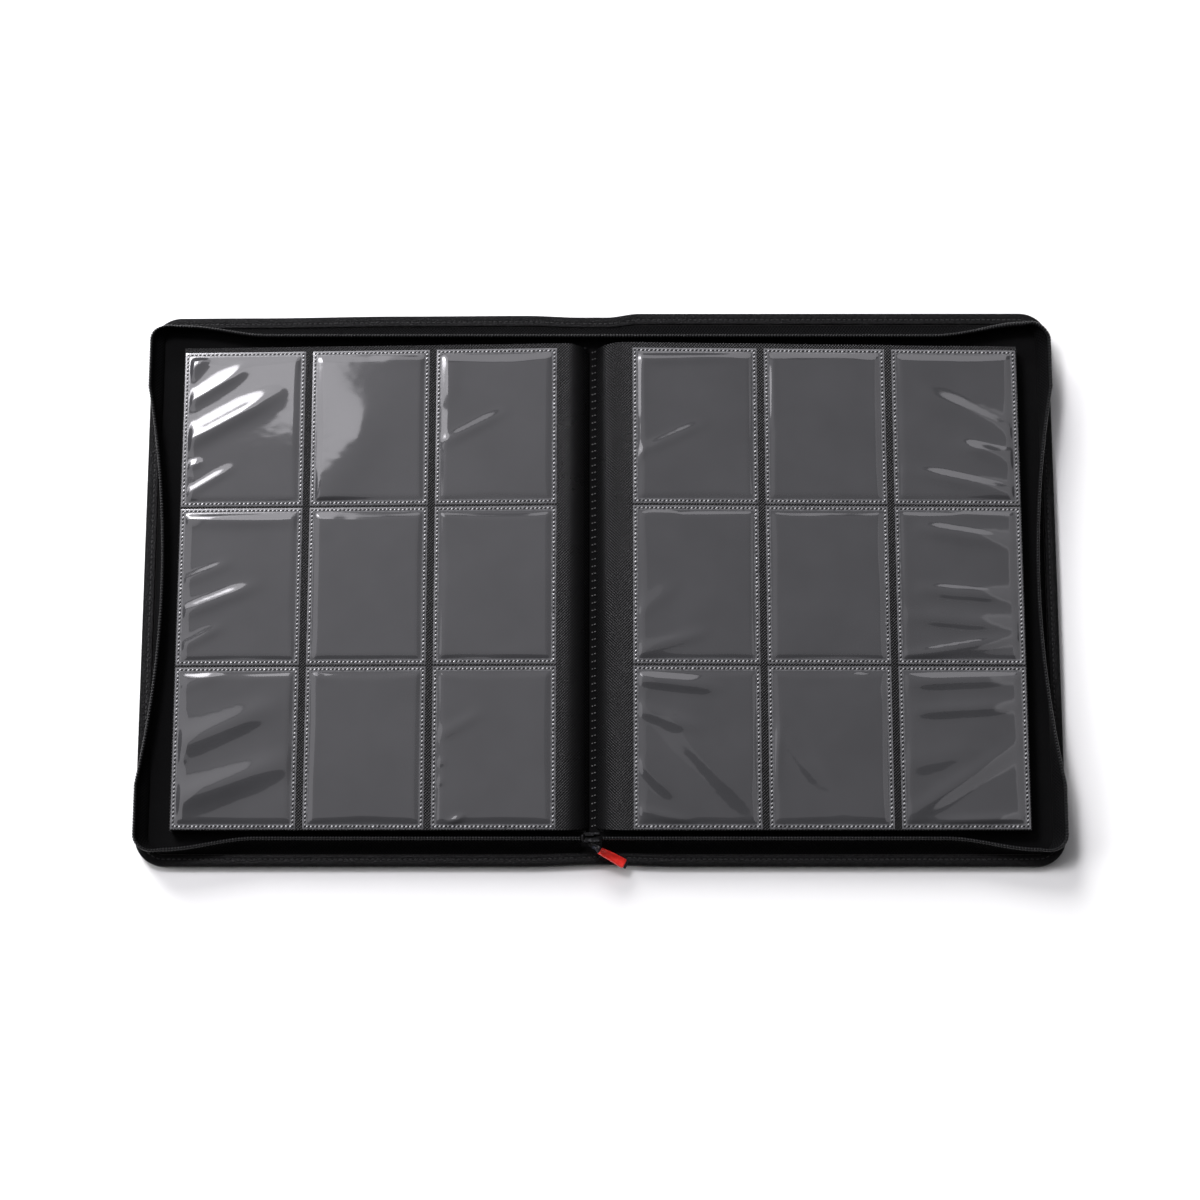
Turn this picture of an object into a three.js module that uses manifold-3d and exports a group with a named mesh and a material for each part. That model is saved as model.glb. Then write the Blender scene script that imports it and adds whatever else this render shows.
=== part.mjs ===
// Zipper trading card binder, lying open and flat at the middle of its pages.
// Millimetres, +Z up. The origin is the middle of the spine's underside.
// +X runs to the back cover's fore-edge and +Y to the head of the pages.
import * as THREE from 'three';
import { mergeVertices } from 'three/addons/utils/BufferGeometryUtils.js';
import Module from 'manifold-3d';

const wasm = await Module();
wasm.setup();

// Covers and spine, seen from above
const coverHeight = 342;
const coverWidth = 266;
const spineWidth = 24;
const coverCornerRadius = 18;
const creaseGap = 0.3;

// Layers of a cover and of the spine, from the table up
const skinThickness = 0.8;
const paddingThickness = 1.5;
const boardThickness = 2;
const liningThickness = 0.4;
const skinEdgeRadius = 0.8;
const layerClearance = 0.2;

// Stitched band that closes the edge of the covers
const bandWidth = 7;
const bandThickness = 1;
const bandEdgeRadius = 0.35;

// Zip tape: a thin ribbon that stands on the board just inside the band
const tapeThickness = 0.6;
const tapeClearance = 0.4;
const tapeRootGap = 0.1;
const tapeRise = 2.5;
const liningClearance = 1;
const runLean = 8;
const cornerRunLean = 1.3;
const cornerForeLean = -6.5;
const foreLean = 5.3;
const runBlendLength = 55;
const foreHoldLength = 30;
const zipStartLength = 17.5;

// Zip teeth: a toothed strip along the tape's free edge
const toothPitch = 4;
const toothHeight = 2.55;
const toothNotch = 0.95;
const toothWidth = 2.2;
const toothTopWidth = 1.5;
const toothWaist = 0.6;
const zipMeetGap = 0.75;

// Leaves: a woven backing sheet with film pockets on both faces.
// The left leaves bend down further from the gutter, so their bare margin is wider.
const leavesPerSide = 10;
const leafPitch = 1;
const leafHeadGap = 3.8;
const leafForeGap = 8;
const leafInnerX = 8.7;
const rightLeafMargin = 11.1;
const leftLeafMargin = 18.1;
const leafBacking = 0.4;
const leafPocketDepth = 0.15;
const leafStackGap = 0.3;

// Film pockets: three columns of three on each face, open towards the spine
const pocketColumns = 3;
const pocketRows = 3;
const columnGap = 4.4;
const pageRim = 0.6;
const filmHeadGap = 4.3;
const filmThickness = 0.2;
const cardSpace = 0.35;
const weldWidth = 3;
const rowGrooveWidth = 1.6;
const rowGrooveDepth = 0.35;

// Gutter: the sewn strip on the spine and the bent roots of the leaves
const gutterStripWidth = 13;
const gutterStripThickness = 0.6;
const gutterOpening = 0.8;
const rootClearance = 0.3;

// Slider, its bridge and the pull
const sliderLength = 10;
const sliderX = -5;
const sliderHalfWidth = 4.6;
const sliderNoseHalfWidth = 5;
const sliderPlate = 1.1;
const sliderChannelClearance = 0.5;
const sliderSlotHalfWidth = 0.8;
const sliderFlange = 0.85;
const sliderPostWidth = 0.9;
const sliderPocketClearance = 0.6;
const bridgeThickness = 1.2;
const bridgeOpening = 1.9;
const bridgeWall = 0.9;
const bridgeHalfLength = 2.5;
const bridgeLeg = 1.1;
const bottomStopLength = 1.1;
const bottomStopClearance = 0.3;
const linkBar = 0.8;
const linkReach = 4.4;
const linkHalfHeight = 2.2;
const pullAzimuth = -27.4;
const tabDroop = 26;
const strapThickness = 1;
const strapWidth = 3;
const eyeRadius = 1.1;
const eyeWall = 0.7;
const sleeveStart = 2;
const sleeveLength = 16.6;
const sleeveNearWidth = 3.9;
const sleeveFarWidth = 4.8;
const sleeveThickness = 3;
const sleeveClearance = 0.3;
const strapTipLength = 1.1;

// Places that follow from those sizes
const creaseX = spineWidth / 2;
const foreEdgeX = creaseX + coverWidth;
const halfHeight = coverHeight / 2;
const boardBottom = skinThickness + paddingThickness;
const boardTop = boardBottom + boardThickness;
const innerFace = boardTop + liningThickness;
const bandTop = boardTop + bandThickness;
const tapeInset = bandWidth + tapeClearance + tapeThickness / 2;
const liningInset = tapeInset + tapeThickness / 2 + liningClearance;
const zipMidHeight = innerFace + creaseX;
const toothTip = zipMidHeight - zipMeetGap;
const toothBase = toothTip - toothHeight;
const tapeRoot = boardTop + tapeRootGap;
const zipStartX = creaseX + zipStartLength;
const seamRadius = coverCornerRadius - tapeInset;
const seamX = foreEdgeX - tapeInset;
const seamY = halfHeight - tapeInset;
const seamCornerX = seamX - seamRadius;
const seamCornerY = seamY - seamRadius;
const runLength = seamCornerX - zipStartX;
const arcLength = seamRadius * Math.PI / 2;
const foreLength = 2 * seamCornerY;
const foreBlendLength = foreLength / 2 - foreHoldLength;
const seamLength = 2 * runLength + 2 * arcLength + foreLength;
const coilY = seamY - runLean;
const leafHeight = 2 * (coilY - toothWidth / 2 - leafHeadGap);
const leafOuterX = seamX - foreLean - toothWidth / 2 - leafForeGap;
const leafThickness = leafBacking + 2 * leafPocketDepth;
const stackBottom = innerFace + leafStackGap;
const topLeafBottom = stackBottom + (leavesPerSide - 1) * leafPitch;
const topBackingBottom = topLeafBottom + cardSpace;
const topFilmBottom = topBackingBottom + leafBacking;
const pocketDepth = cardSpace + filmThickness;
const pageTop = topFilmBottom + pocketDepth;
const bandCreaseGap = bandTop - innerFace + creaseGap;

const smooth = (value) => {
  const t = THREE.MathUtils.clamp(value, 0, 1);
  return t * t * (3 - 2 * t);
};

const materials = {
  leatherette: () => new THREE.MeshStandardMaterial({ color: 0x141416, roughness: 0.55, metalness: 0 }),
  padding: () => new THREE.MeshStandardMaterial({ color: 0x3a3a3c, roughness: 0.95, metalness: 0 }),
  board: () => new THREE.MeshStandardMaterial({ color: 0x6d6a64, roughness: 0.9, metalness: 0 }),
  lining: () => new THREE.MeshStandardMaterial({ color: 0x0b0b0c, roughness: 0.95, metalness: 0 }),
  tape: () => new THREE.MeshStandardMaterial({ color: 0x1c1c1e, roughness: 0.85, metalness: 0 }),
  nylon: () => new THREE.MeshStandardMaterial({ color: 0x2a2a2c, roughness: 0.4, metalness: 0 }),
  weave: () => new THREE.MeshStandardMaterial({ color: 0x2e2e31, roughness: 0.9, metalness: 0 }),
  film: () => new THREE.MeshStandardMaterial({ color: 0x6a6b70, roughness: 0.15, metalness: 0 }),
  slider: () => new THREE.MeshStandardMaterial({ color: 0x1a1a1c, roughness: 0.3, metalness: 0.9 }),
  rubber: () => new THREE.MeshStandardMaterial({ color: 0xe0201c, roughness: 0.5, metalness: 0 }),
  strap: () => new THREE.MeshStandardMaterial({ color: 0x161a22, roughness: 0.6, metalness: 0 }),
};

// Booleans on closed meshes

function solid(geometry) {
  const bare = geometry.clone();
  bare.deleteAttribute('normal');
  bare.deleteAttribute('uv');
  const merged = mergeVertices(bare);
  const vertProperties = new Float32Array(merged.attributes.position.array);
  const triVerts = new Uint32Array(merged.index.array);
  return new wasm.Manifold(new wasm.Mesh({ numProp: 3, vertProperties, triVerts }));
}

function asGeometry(manifold) {
  const mesh = manifold.getMesh();
  const geometry = new THREE.BufferGeometry();
  geometry.setAttribute('position', new THREE.BufferAttribute(mesh.vertProperties, 3));
  geometry.setIndex(new THREE.BufferAttribute(mesh.triVerts, 1));
  geometry.computeVertexNormals();
  return geometry;
}

function joined(...geometries) {
  return asGeometry(geometries.map(solid).reduce((whole, piece) => whole.add(piece)));
}

function cut(geometry, ...tools) {
  return asGeometry(tools.map(solid).reduce((whole, tool) => whole.subtract(tool), solid(geometry)));
}

// Plain forms

function box(x0, x1, y0, y1, z0, z1) {
  const geometry = new THREE.BoxGeometry(x1 - x0, y1 - y0, z1 - z0);
  geometry.translate((x0 + x1) / 2, (y0 + y1) / 2, (z0 + z1) / 2);
  return geometry;
}

function slab(outline, z0, z1, curveSegments = 8) {
  const geometry = new THREE.ExtrudeGeometry(outline, { depth: z1 - z0, bevelEnabled: false, curveSegments });
  geometry.translate(0, 0, z0);
  return geometry;
}

function softSlab(outline, z0, z1, edgeRadius, curveSegments = 8) {
  const geometry = new THREE.ExtrudeGeometry(outline, {
    depth: z1 - z0 - 2 * edgeRadius,
    bevelThickness: edgeRadius,
    bevelSize: edgeRadius,
    bevelOffset: -edgeRadius,
    bevelSegments: 2,
    curveSegments,
  });
  geometry.translate(0, 0, z0 + edgeRadius);
  return geometry;
}

// A profile drawn in X and Z and drawn out along Y
function alongY(profile, y0, y1, curveSegments = 8) {
  const geometry = new THREE.ExtrudeGeometry(profile, { depth: y1 - y0, bevelEnabled: false, curveSegments });
  geometry.rotateX(Math.PI / 2);
  geometry.translate(0, y1, 0);
  return geometry;
}

// A closed skin over rings of points, with both ends covered as the flat section is
function loft(rings, section) {
  const count = section.length;
  const positions = rings.flat().flatMap((point) => [point.x, point.y, point.z]);
  const indices = [];
  for (let ring = 0; ring < rings.length - 1; ring += 1) {
    for (let side = 0; side < count; side += 1) {
      const a = ring * count + side;
      const b = ring * count + (side + 1) % count;
      indices.push(a, b, b + count, a, b + count, a + count);
    }
  }
  const last = (rings.length - 1) * count;
  for (const [a, b, c] of THREE.ShapeUtils.triangulateShape(section, [])) {
    indices.push(c, b, a);
    indices.push(last + a, last + b, last + c);
  }
  const geometry = new THREE.BufferGeometry();
  geometry.setAttribute('position', new THREE.Float32BufferAttribute(positions, 3));
  geometry.setIndex(indices);
  geometry.computeVertexNormals();
  return geometry;
}

// Covers: an outline with two round corners at the fore-edge, drawn in by an inset

function coverOutline(inset, innerX = creaseX + creaseGap) {
  const x = foreEdgeX - inset;
  const y = halfHeight - inset;
  const radius = coverCornerRadius - inset;
  const outline = new THREE.Shape();
  outline.moveTo(innerX, -y);
  outline.lineTo(x - radius, -y);
  outline.absarc(x - radius, radius - y, radius, -Math.PI / 2, 0, false);
  outline.lineTo(x, y - radius);
  outline.absarc(x - radius, y - radius, radius, 0, Math.PI / 2, false);
  outline.lineTo(innerX, y);
  return outline;
}

function coverSkin() {
  const outer = softSlab(coverOutline(0), 0, boardTop + skinEdgeRadius, skinEdgeRadius);
  const above = slab(coverOutline(-1, 0), boardTop, bandTop + skinEdgeRadius);
  const hollow = slab(coverOutline(skinThickness, 0), skinThickness, bandTop);
  return cut(outer, above, hollow);
}

function coverLayer(inset, z0, z1) {
  return slab(coverOutline(inset), z0, z1);
}

function coverBand() {
  const inner = coverOutline(bandWidth).getPoints(8).reverse();
  const outline = new THREE.Shape(coverOutline(0).getPoints(8).concat(inner));
  return softSlab(outline, boardTop, bandTop, bandEdgeRadius);
}

// Zip: the seam runs from beside the spine, round the fore-edge and back

function seamPoint(distance) {
  const atStart = distance < seamLength / 2;
  const along = atStart ? distance : seamLength - distance;
  const sign = atStart ? -1 : 1;
  if (along < runLength) {
    return { x: zipStartX + along, y: sign * seamY, inwardX: 0, inwardY: -sign };
  }
  if (along < runLength + arcLength) {
    const angle = (along - runLength) / seamRadius;
    return {
      x: seamCornerX + seamRadius * Math.sin(angle),
      y: sign * (seamCornerY + seamRadius * Math.cos(angle)),
      inwardX: -Math.sin(angle),
      inwardY: -sign * Math.cos(angle),
    };
  }
  const up = along - runLength - arcLength;
  return { x: seamX, y: sign * (seamCornerY - up), inwardX: -1, inwardY: 0 };
}

// The tape leans in along each side, stands up at the corners and leans out beyond them
function tapeLean(distance) {
  const along = Math.min(distance, seamLength - distance);
  if (along < runLength) {
    return THREE.MathUtils.lerp(cornerRunLean, runLean, smooth((runLength - along) / runBlendLength));
  }
  if (along < runLength + arcLength) {
    return THREE.MathUtils.lerp(cornerRunLean, cornerForeLean, smooth((along - runLength) / arcLength));
  }
  const past = THREE.MathUtils.clamp((along - runLength - arcLength - foreHoldLength) / foreBlendLength, 0, 1);
  return THREE.MathUtils.lerp(cornerForeLean, foreLean, 1 - (1 - past) ** 2);
}

// The tape's section for one lean: it bends up from the seam and meets the teeth upright,
// and where it leans out it rises past the band first
function tapeSection(lean, steps = 4) {
  const bandPass = (bandTop - tapeRoot) / (toothBase - tapeRoot);
  const curve = [];
  for (let step = 0; step <= steps; step += 1) {
    const t = step / steps;
    const across = lean * (lean < 0 ? smooth((t - bandPass) / (1 - bandPass)) : 1 - (1 - t) ** tapeRise);
    curve.push(new THREE.Vector2(across, THREE.MathUtils.lerp(tapeRoot, toothBase, t)));
  }
  const half = tapeThickness / 2;
  const inner = curve.map((point) => new THREE.Vector2(point.x + half, point.y));
  const outer = curve.map((point) => new THREE.Vector2(point.x - half, point.y)).reverse();
  return inner.concat(outer);
}

function placedSection(section, seam) {
  return section.map(({ x, y }) => new THREE.Vector3(seam.x + seam.inwardX * x, seam.y + seam.inwardY * x, y));
}

// Distances along the seam, closer where the tape bends
function seamStations() {
  const half = [0];
  const stretches = [
    [runLength - runBlendLength, 1],
    [runBlendLength, 6],
    [arcLength, 8],
    [foreHoldLength, 2],
    [foreBlendLength, 12],
  ];
  for (const [length, steps] of stretches) {
    const start = half[half.length - 1];
    for (let step = 1; step <= steps; step += 1) {
      half.push(start + length * step / steps);
    }
  }
  return half.concat(half.map((distance) => seamLength - distance).reverse());
}

function zipTape() {
  const rings = seamStations().map((distance) => placedSection(tapeSection(tapeLean(distance)), seamPoint(distance)));
  return loft(rings, tapeSection(runLean));
}

// One ring of the toothed strip: wide and tall on a tooth, narrow and low between two
function toothSection(onTooth, base = toothBase) {
  const foot = (onTooth ? toothWidth : toothWidth - toothWaist) / 2;
  const crest = (onTooth ? toothTopWidth : toothTopWidth - toothWaist) / 2;
  const top = onTooth ? toothTip : toothTip - toothNotch;
  return [
    new THREE.Vector2(-foot, base),
    new THREE.Vector2(foot, base),
    new THREE.Vector2(crest, top),
    new THREE.Vector2(-crest, top),
  ];
}

function zipTeeth() {
  const count = 2 * Math.round(seamLength / toothPitch);
  const rings = [];
  for (let ring = 0; ring <= count; ring += 1) {
    const distance = seamLength * ring / count;
    const lean = tapeLean(distance);
    const section = toothSection(ring % 2 === 0).map(({ x, y }) => new THREE.Vector2(x + lean, y));
    rings.push(placedSection(section, seamPoint(distance)));
  }
  return loft(rings, toothSection(true));
}

// The stretch of zip over the spine, between the two covers' tapes
function zipSpineStretch() {
  const reach = zipStartX - creaseGap;
  const seamAt = (x) => ({ x, y: -seamY, inwardX: 0, inwardY: 1 });
  const section = tapeSection(runLean);
  const tape = loft([-reach, reach].map((x) => placedSection(section, seamAt(x))), section);
  const sunk = toothBase - tapeThickness / 2;
  const count = 2 * Math.round(2 * reach / toothPitch);
  const rings = [];
  for (let ring = 0; ring <= count; ring += 1) {
    const teeth = toothSection(ring % 2 === 0, sunk).map(({ x, y }) => new THREE.Vector2(x + runLean, y));
    rings.push(placedSection(teeth, seamAt(-reach + 2 * reach * ring / count)));
  }
  return joined(tape, loft(rings, toothSection(true, sunk)));
}

function zipBottomEnd() {
  const stopEnd = sliderX - sliderLength / 2 - bottomStopClearance - bottomStopLength;
  const x0 = stopEnd - sliderPocketClearance;
  const x1 = sliderX + sliderLength / 2 + sliderPocketClearance;
  const z0 = zipMidHeight - sliderNoseHalfWidth - sliderPocketClearance;
  return cut(zipSpineStretch(), box(x0, x1, -halfHeight, 0, z0, zipMidHeight));
}

// Leaves

function columnSpan(column, margin) {
  const innerX = leafInnerX + margin;
  const pitch = (leafOuterX - pageRim - innerX) / pocketColumns;
  const x0 = innerX + column * pitch + (column > 0 ? columnGap / 2 : 0);
  const x1 = innerX + (column + 1) * pitch - (column < pocketColumns - 1 ? columnGap / 2 : 0);
  return [x0, x1];
}

// The section of a closed leaf: its backing with a raised strip for each column of pockets
function leafProfile(margin, backingBottom, backingTop, raisedBottom, raisedTop) {
  const face = (plain, raised) => {
    const points = [];
    for (let column = 0; column < pocketColumns; column += 1) {
      const [x0, x1] = columnSpan(column, margin);
      points.push([x0, plain], [x0, raised], [x1, raised], [x1, plain]);
    }
    return points;
  };
  const lower = raisedBottom < backingBottom ? face(backingBottom, raisedBottom) : [];
  const upper = raisedTop > backingTop ? face(backingTop, raisedTop).reverse() : [];
  const points = [
    [leafInnerX, backingBottom],
    ...lower,
    [leafOuterX, backingBottom],
    [leafOuterX, backingTop],
    ...upper,
    [leafInnerX, backingTop],
  ];
  return new THREE.Shape(points.map(([x, z]) => new THREE.Vector2(x, z)));
}

function innerLeaf(margin) {
  const backingTop = leafPocketDepth + leafBacking;
  const profile = leafProfile(margin, leafPocketDepth, backingTop, 0, leafThickness);
  return alongY(profile, -leafHeight / 2, leafHeight / 2);
}

function topLeaf(margin) {
  const profile = leafProfile(margin, topBackingBottom, topFilmBottom, topLeafBottom, topFilmBottom);
  return alongY(profile, -leafHeight / 2, leafHeight / 2);
}

// A column of three pockets: film welded along its top, bottom, rows and outer side
function pocketStrip(column, margin, headSign) {
  const [x0, x1] = columnSpan(column, margin);
  const half = leafHeight / 2 - pageRim;
  const low = headSign > 0 ? -half : filmHeadGap - half;
  const high = headSign > 0 ? half - filmHeadGap : half;
  const rowHeight = (high - low) / pocketRows;
  const film = box(x0, x1, low, high, topFilmBottom, pageTop);
  const tools = [];
  for (let row = 0; row < pocketRows; row += 1) {
    const y0 = low + row * rowHeight;
    const mouth = [x0 - weldWidth, x1 - weldWidth];
    const z1 = topFilmBottom + cardSpace;
    tools.push(box(...mouth, y0 + weldWidth, y0 + rowHeight - weldWidth, topFilmBottom - cardSpace, z1));
    if (row > 0) {
      const groove = [y0 - rowGrooveWidth / 2, y0 + rowGrooveWidth / 2];
      tools.push(box(x0 - weldWidth, x1 + weldWidth, ...groove, pageTop - rowGrooveDepth, pageTop + 1));
    }
  }
  return cut(film, ...tools);
}

// The inner margins of one side's leaves, bent down together into the gutter
function leafRoots() {
  const foot = innerFace + gutterStripThickness;
  const outer = leafInnerX - rootClearance;
  const width = outer - gutterOpening;
  const height = pageTop - foot;
  const profile = new THREE.Shape();
  profile.moveTo(gutterOpening, foot);
  profile.lineTo(outer, foot);
  profile.lineTo(outer, pageTop);
  profile.absellipse(outer, foot, width, height, Math.PI / 2, Math.PI, false, 0);
  return alongY(profile, -leafHeight / 2, leafHeight / 2, 10);
}

// Spine

function spineOutline(halfWidth, y0, y1) {
  const outline = new THREE.Shape();
  outline.moveTo(-halfWidth, y0);
  outline.lineTo(halfWidth, y0);
  outline.lineTo(halfWidth, y1);
  outline.lineTo(-halfWidth, y1);
  return outline;
}

function spineSkin() {
  const half = creaseX - creaseGap;
  const inside = halfHeight - skinThickness;
  const outer = softSlab(spineOutline(half, -halfHeight, halfHeight), 0, boardTop + skinEdgeRadius, skinEdgeRadius);
  const above = box(-creaseX, creaseX, -coverHeight, coverHeight, boardTop, bandTop + skinEdgeRadius);
  const hollow = box(-creaseX, creaseX, -inside, inside, skinThickness, bandTop);
  return cut(outer, above, hollow);
}

function spineLayer(inset, z0, z1) {
  const half = creaseX - creaseGap;
  return box(-half, half, inset - halfHeight, halfHeight - inset, z0, z1);
}

function spineBand(sign) {
  const ends = [sign * halfHeight, sign * (halfHeight - bandWidth)].sort((a, b) => a - b);
  return softSlab(spineOutline(creaseX - bandCreaseGap, ...ends), boardTop, bandTop, bandEdgeRadius);
}

// Slider, drawn about its own middle: +X is its nose and -Y its outer face

function sliderPlateOutline() {
  const half = sliderLength / 2;
  const shoulder = half - 1.2;
  const outline = new THREE.Shape();
  outline.moveTo(-half, 1 - sliderHalfWidth);
  outline.lineTo(1 - half, -sliderHalfWidth);
  outline.lineTo(1, -sliderHalfWidth);
  outline.lineTo(shoulder, -sliderNoseHalfWidth);
  outline.quadraticCurveTo(half, -sliderNoseHalfWidth, half, 1 - sliderNoseHalfWidth);
  outline.quadraticCurveTo(shoulder, 0, half, sliderNoseHalfWidth - 1);
  outline.quadraticCurveTo(half, sliderNoseHalfWidth, shoulder, sliderNoseHalfWidth);
  outline.lineTo(1, sliderHalfWidth);
  outline.lineTo(1 - half, sliderHalfWidth);
  outline.lineTo(-half, sliderHalfWidth - 1);
  return outline;
}

const channelHalf = toothWidth / 2 + sliderChannelClearance;
const plateOuter = channelHalf + sliderPlate;

function sliderBody() {
  const outer = alongY(sliderPlateOutline(), -plateOuter, -channelHalf, 4);
  const inner = alongY(sliderPlateOutline(), channelHalf, plateOuter, 4);
  const flanges = [];
  const overlap = sliderPlate / 3;
  for (const face of [-1, 1]) {
    for (const edge of [-1, 1]) {
      const y = [face * sliderSlotHalfWidth, face * (channelHalf + overlap)].sort((a, b) => a - b);
      const z = [edge * (sliderHalfWidth - sliderFlange), edge * sliderHalfWidth].sort((a, b) => a - b);
      flanges.push(box(1 - sliderLength / 2, 1, ...y, ...z));
    }
  }
  const half = sliderPostWidth / 2;
  const nose = sliderLength / 2 - 1;
  const diamond = new THREE.Shape();
  diamond.moveTo(nose - 3.2, 0);
  diamond.lineTo(nose - 1.6, -half);
  diamond.lineTo(nose, -half);
  diamond.lineTo(nose, half);
  diamond.lineTo(nose - 1.6, half);
  const post = alongY(diamond, -channelHalf - overlap, channelHalf + overlap);
  return joined(outer, inner, ...flanges, post);
}

// The bridge over the slider's outer face that holds the pull
function sliderBridge() {
  const foot = bridgeHalfLength;
  const opening = foot - bridgeLeg;
  const rise = bridgeOpening + bridgeWall;
  const arch = new THREE.Shape();
  arch.moveTo(-foot, -plateOuter);
  arch.lineTo(-opening, -plateOuter);
  arch.bezierCurveTo(
    -opening, -plateOuter - bridgeOpening * 4 / 3, opening, -plateOuter - bridgeOpening * 4 / 3,
    opening, -plateOuter,
  );
  arch.lineTo(foot, -plateOuter);
  arch.bezierCurveTo(foot, -plateOuter - rise * 4 / 3, -foot, -plateOuter - rise * 4 / 3, -foot, -plateOuter);
  return slab(arch, -bridgeThickness / 2, bridgeThickness / 2, 8);
}

// Pull, drawn along +X from the bridge

function pullLink() {
  const bar = linkBar / 2;
  const outline = new THREE.Shape();
  outline.moveTo(-bar, -linkHalfHeight - bar);
  outline.lineTo(linkReach + bar, -linkHalfHeight - bar);
  outline.lineTo(linkReach + bar, linkHalfHeight + bar);
  outline.lineTo(-bar, linkHalfHeight + bar);
  const window = new THREE.Path();
  window.moveTo(bar, bar - linkHalfHeight);
  window.lineTo(bar, linkHalfHeight - bar);
  window.lineTo(linkReach - bar, linkHalfHeight - bar);
  window.lineTo(linkReach - bar, bar - linkHalfHeight);
  outline.holes.push(window);
  return alongY(outline, -bar, bar);
}

function pullStrap() {
  const eye = eyeRadius + eyeWall;
  const half = strapWidth / 2;
  const reach = sleeveStart + sleeveLength + sleeveClearance;
  const root = Math.asin(half / eye);
  const outline = new THREE.Shape();
  outline.absarc(0, 0, eye, root, 2 * Math.PI - root, false);
  outline.lineTo(reach, -half);
  outline.lineTo(reach, -sleeveFarWidth / 2 + sleeveClearance);
  outline.lineTo(reach + strapTipLength, -half);
  outline.lineTo(reach + strapTipLength, half);
  outline.lineTo(reach, sleeveFarWidth / 2 - sleeveClearance);
  outline.lineTo(reach, half);
  const hole = new THREE.Path();
  hole.absarc(0, 0, eyeRadius, 0, 2 * Math.PI, true);
  outline.holes.push(hole);
  return slab(outline, -strapThickness / 2, strapThickness / 2, 16);
}

function pullTab() {
  const near = sleeveNearWidth / 2;
  const far = sleeveFarWidth / 2;
  const end = sleeveStart + sleeveLength;
  const outline = new THREE.Shape();
  outline.moveTo(sleeveStart, -near);
  outline.lineTo(end, -far);
  outline.lineTo(end, far);
  outline.lineTo(sleeveStart, near);
  const sleeve = softSlab(outline, -sleeveThickness / 2, sleeveThickness / 2, 0.5);
  const half = strapWidth / 2 + sleeveClearance;
  const deep = strapThickness / 2 + sleeveClearance;
  return cut(sleeve, box(0, 2 * end, -half, half, -deep, deep));
}

// Assembly

function addPiece(parent, name, geometry, material) {
  const mesh = new THREE.Mesh(geometry, material);
  mesh.name = name;
  parent.add(mesh);
  return mesh;
}

function addCover(parent, side) {
  const layerInset = skinThickness + layerClearance;
  addPiece(parent, `${side}_cover_skin`, coverSkin(), materials.leatherette());
  addPiece(parent, `${side}_cover_padding`, coverLayer(layerInset, skinThickness, boardBottom), materials.padding());
  addPiece(parent, `${side}_cover_board`, coverLayer(layerInset, boardBottom, boardTop), materials.board());
  addPiece(parent, `${side}_cover_lining`, coverLayer(liningInset, boardTop, innerFace), materials.lining());
  addPiece(parent, `${side}_edge_band`, coverBand(), materials.leatherette());
  addPiece(parent, `${side}_zip_tape`, zipTape(), materials.tape());
  addPiece(parent, `${side}_zip_teeth`, zipTeeth(), materials.nylon());
}

function addLeaves(parent, side, margin, headSign) {
  const leaf = innerLeaf(margin);
  for (let index = 2; index <= leavesPerSide; index += 1) {
    const mesh = addPiece(parent, `${side}_leaf_${index}`, leaf, materials.weave());
    mesh.position.z = stackBottom + (leavesPerSide - index) * leafPitch;
  }
  addPiece(parent, `${side}_leaf_1`, topLeaf(margin), materials.weave());
  for (let column = 0; column < pocketColumns; column += 1) {
    addPiece(parent, `${side}_pocket_strip_${column + 1}`, pocketStrip(column, margin, headSign), materials.film());
  }
  addPiece(parent, `${side}_leaf_roots`, leafRoots(), materials.weave());
}

function addSpine(parent) {
  const layerInset = skinThickness + layerClearance;
  const strip = gutterStripWidth / 2;
  const stripTop = innerFace + gutterStripThickness;
  const sewn = box(-strip, strip, -leafHeight / 2, leafHeight / 2, innerFace, stripTop);
  addPiece(parent, 'spine_skin', spineSkin(), materials.leatherette());
  addPiece(parent, 'spine_padding', spineLayer(layerInset, skinThickness, boardBottom), materials.padding());
  addPiece(parent, 'spine_board', spineLayer(layerInset, boardBottom, boardTop), materials.board());
  addPiece(parent, 'spine_lining', spineLayer(liningInset, boardTop, innerFace), materials.lining());
  addPiece(parent, 'spine_top_band', spineBand(1), materials.leatherette());
  addPiece(parent, 'spine_bottom_band', spineBand(-1), materials.leatherette());
  addPiece(parent, 'gutter_strip', sewn, materials.weave());
  addPiece(parent, 'zip_bottom_end', zipBottomEnd(), materials.tape());
  const top = addPiece(parent, 'zip_top_end', zipSpineStretch(), materials.tape());
  top.rotation.z = Math.PI;
}

function addSlider(parent) {
  const slider = new THREE.Group();
  slider.position.set(sliderX, -coilY, zipMidHeight);
  parent.add(slider);
  addPiece(slider, 'slider_body', sliderBody(), materials.slider());
  addPiece(slider, 'slider_bridge', sliderBridge(), materials.slider());
  const stopEnd = -sliderLength / 2 - bottomStopClearance;
  const stopHalf = sliderHalfWidth - sliderFlange - bottomStopClearance;
  const stop = box(stopEnd - bottomStopLength, stopEnd, -channelHalf, channelHalf, -stopHalf, stopHalf);
  addPiece(slider, 'zip_bottom_stop', stop, materials.slider());

  const pull = new THREE.Group();
  pull.position.set(0, -plateOuter - bridgeOpening / 2, 0);
  pull.rotation.z = THREE.MathUtils.degToRad(pullAzimuth);
  slider.add(pull);
  addPiece(pull, 'pull_link', pullLink(), materials.slider());
  const tab = new THREE.Group();
  tab.position.x = linkReach;
  tab.rotation.y = THREE.MathUtils.degToRad(tabDroop);
  pull.add(tab);
  addPiece(tab, 'pull_strap', pullStrap(), materials.strap());
  addPiece(tab, 'pull_tab', pullTab(), materials.rubber());
}

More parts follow.
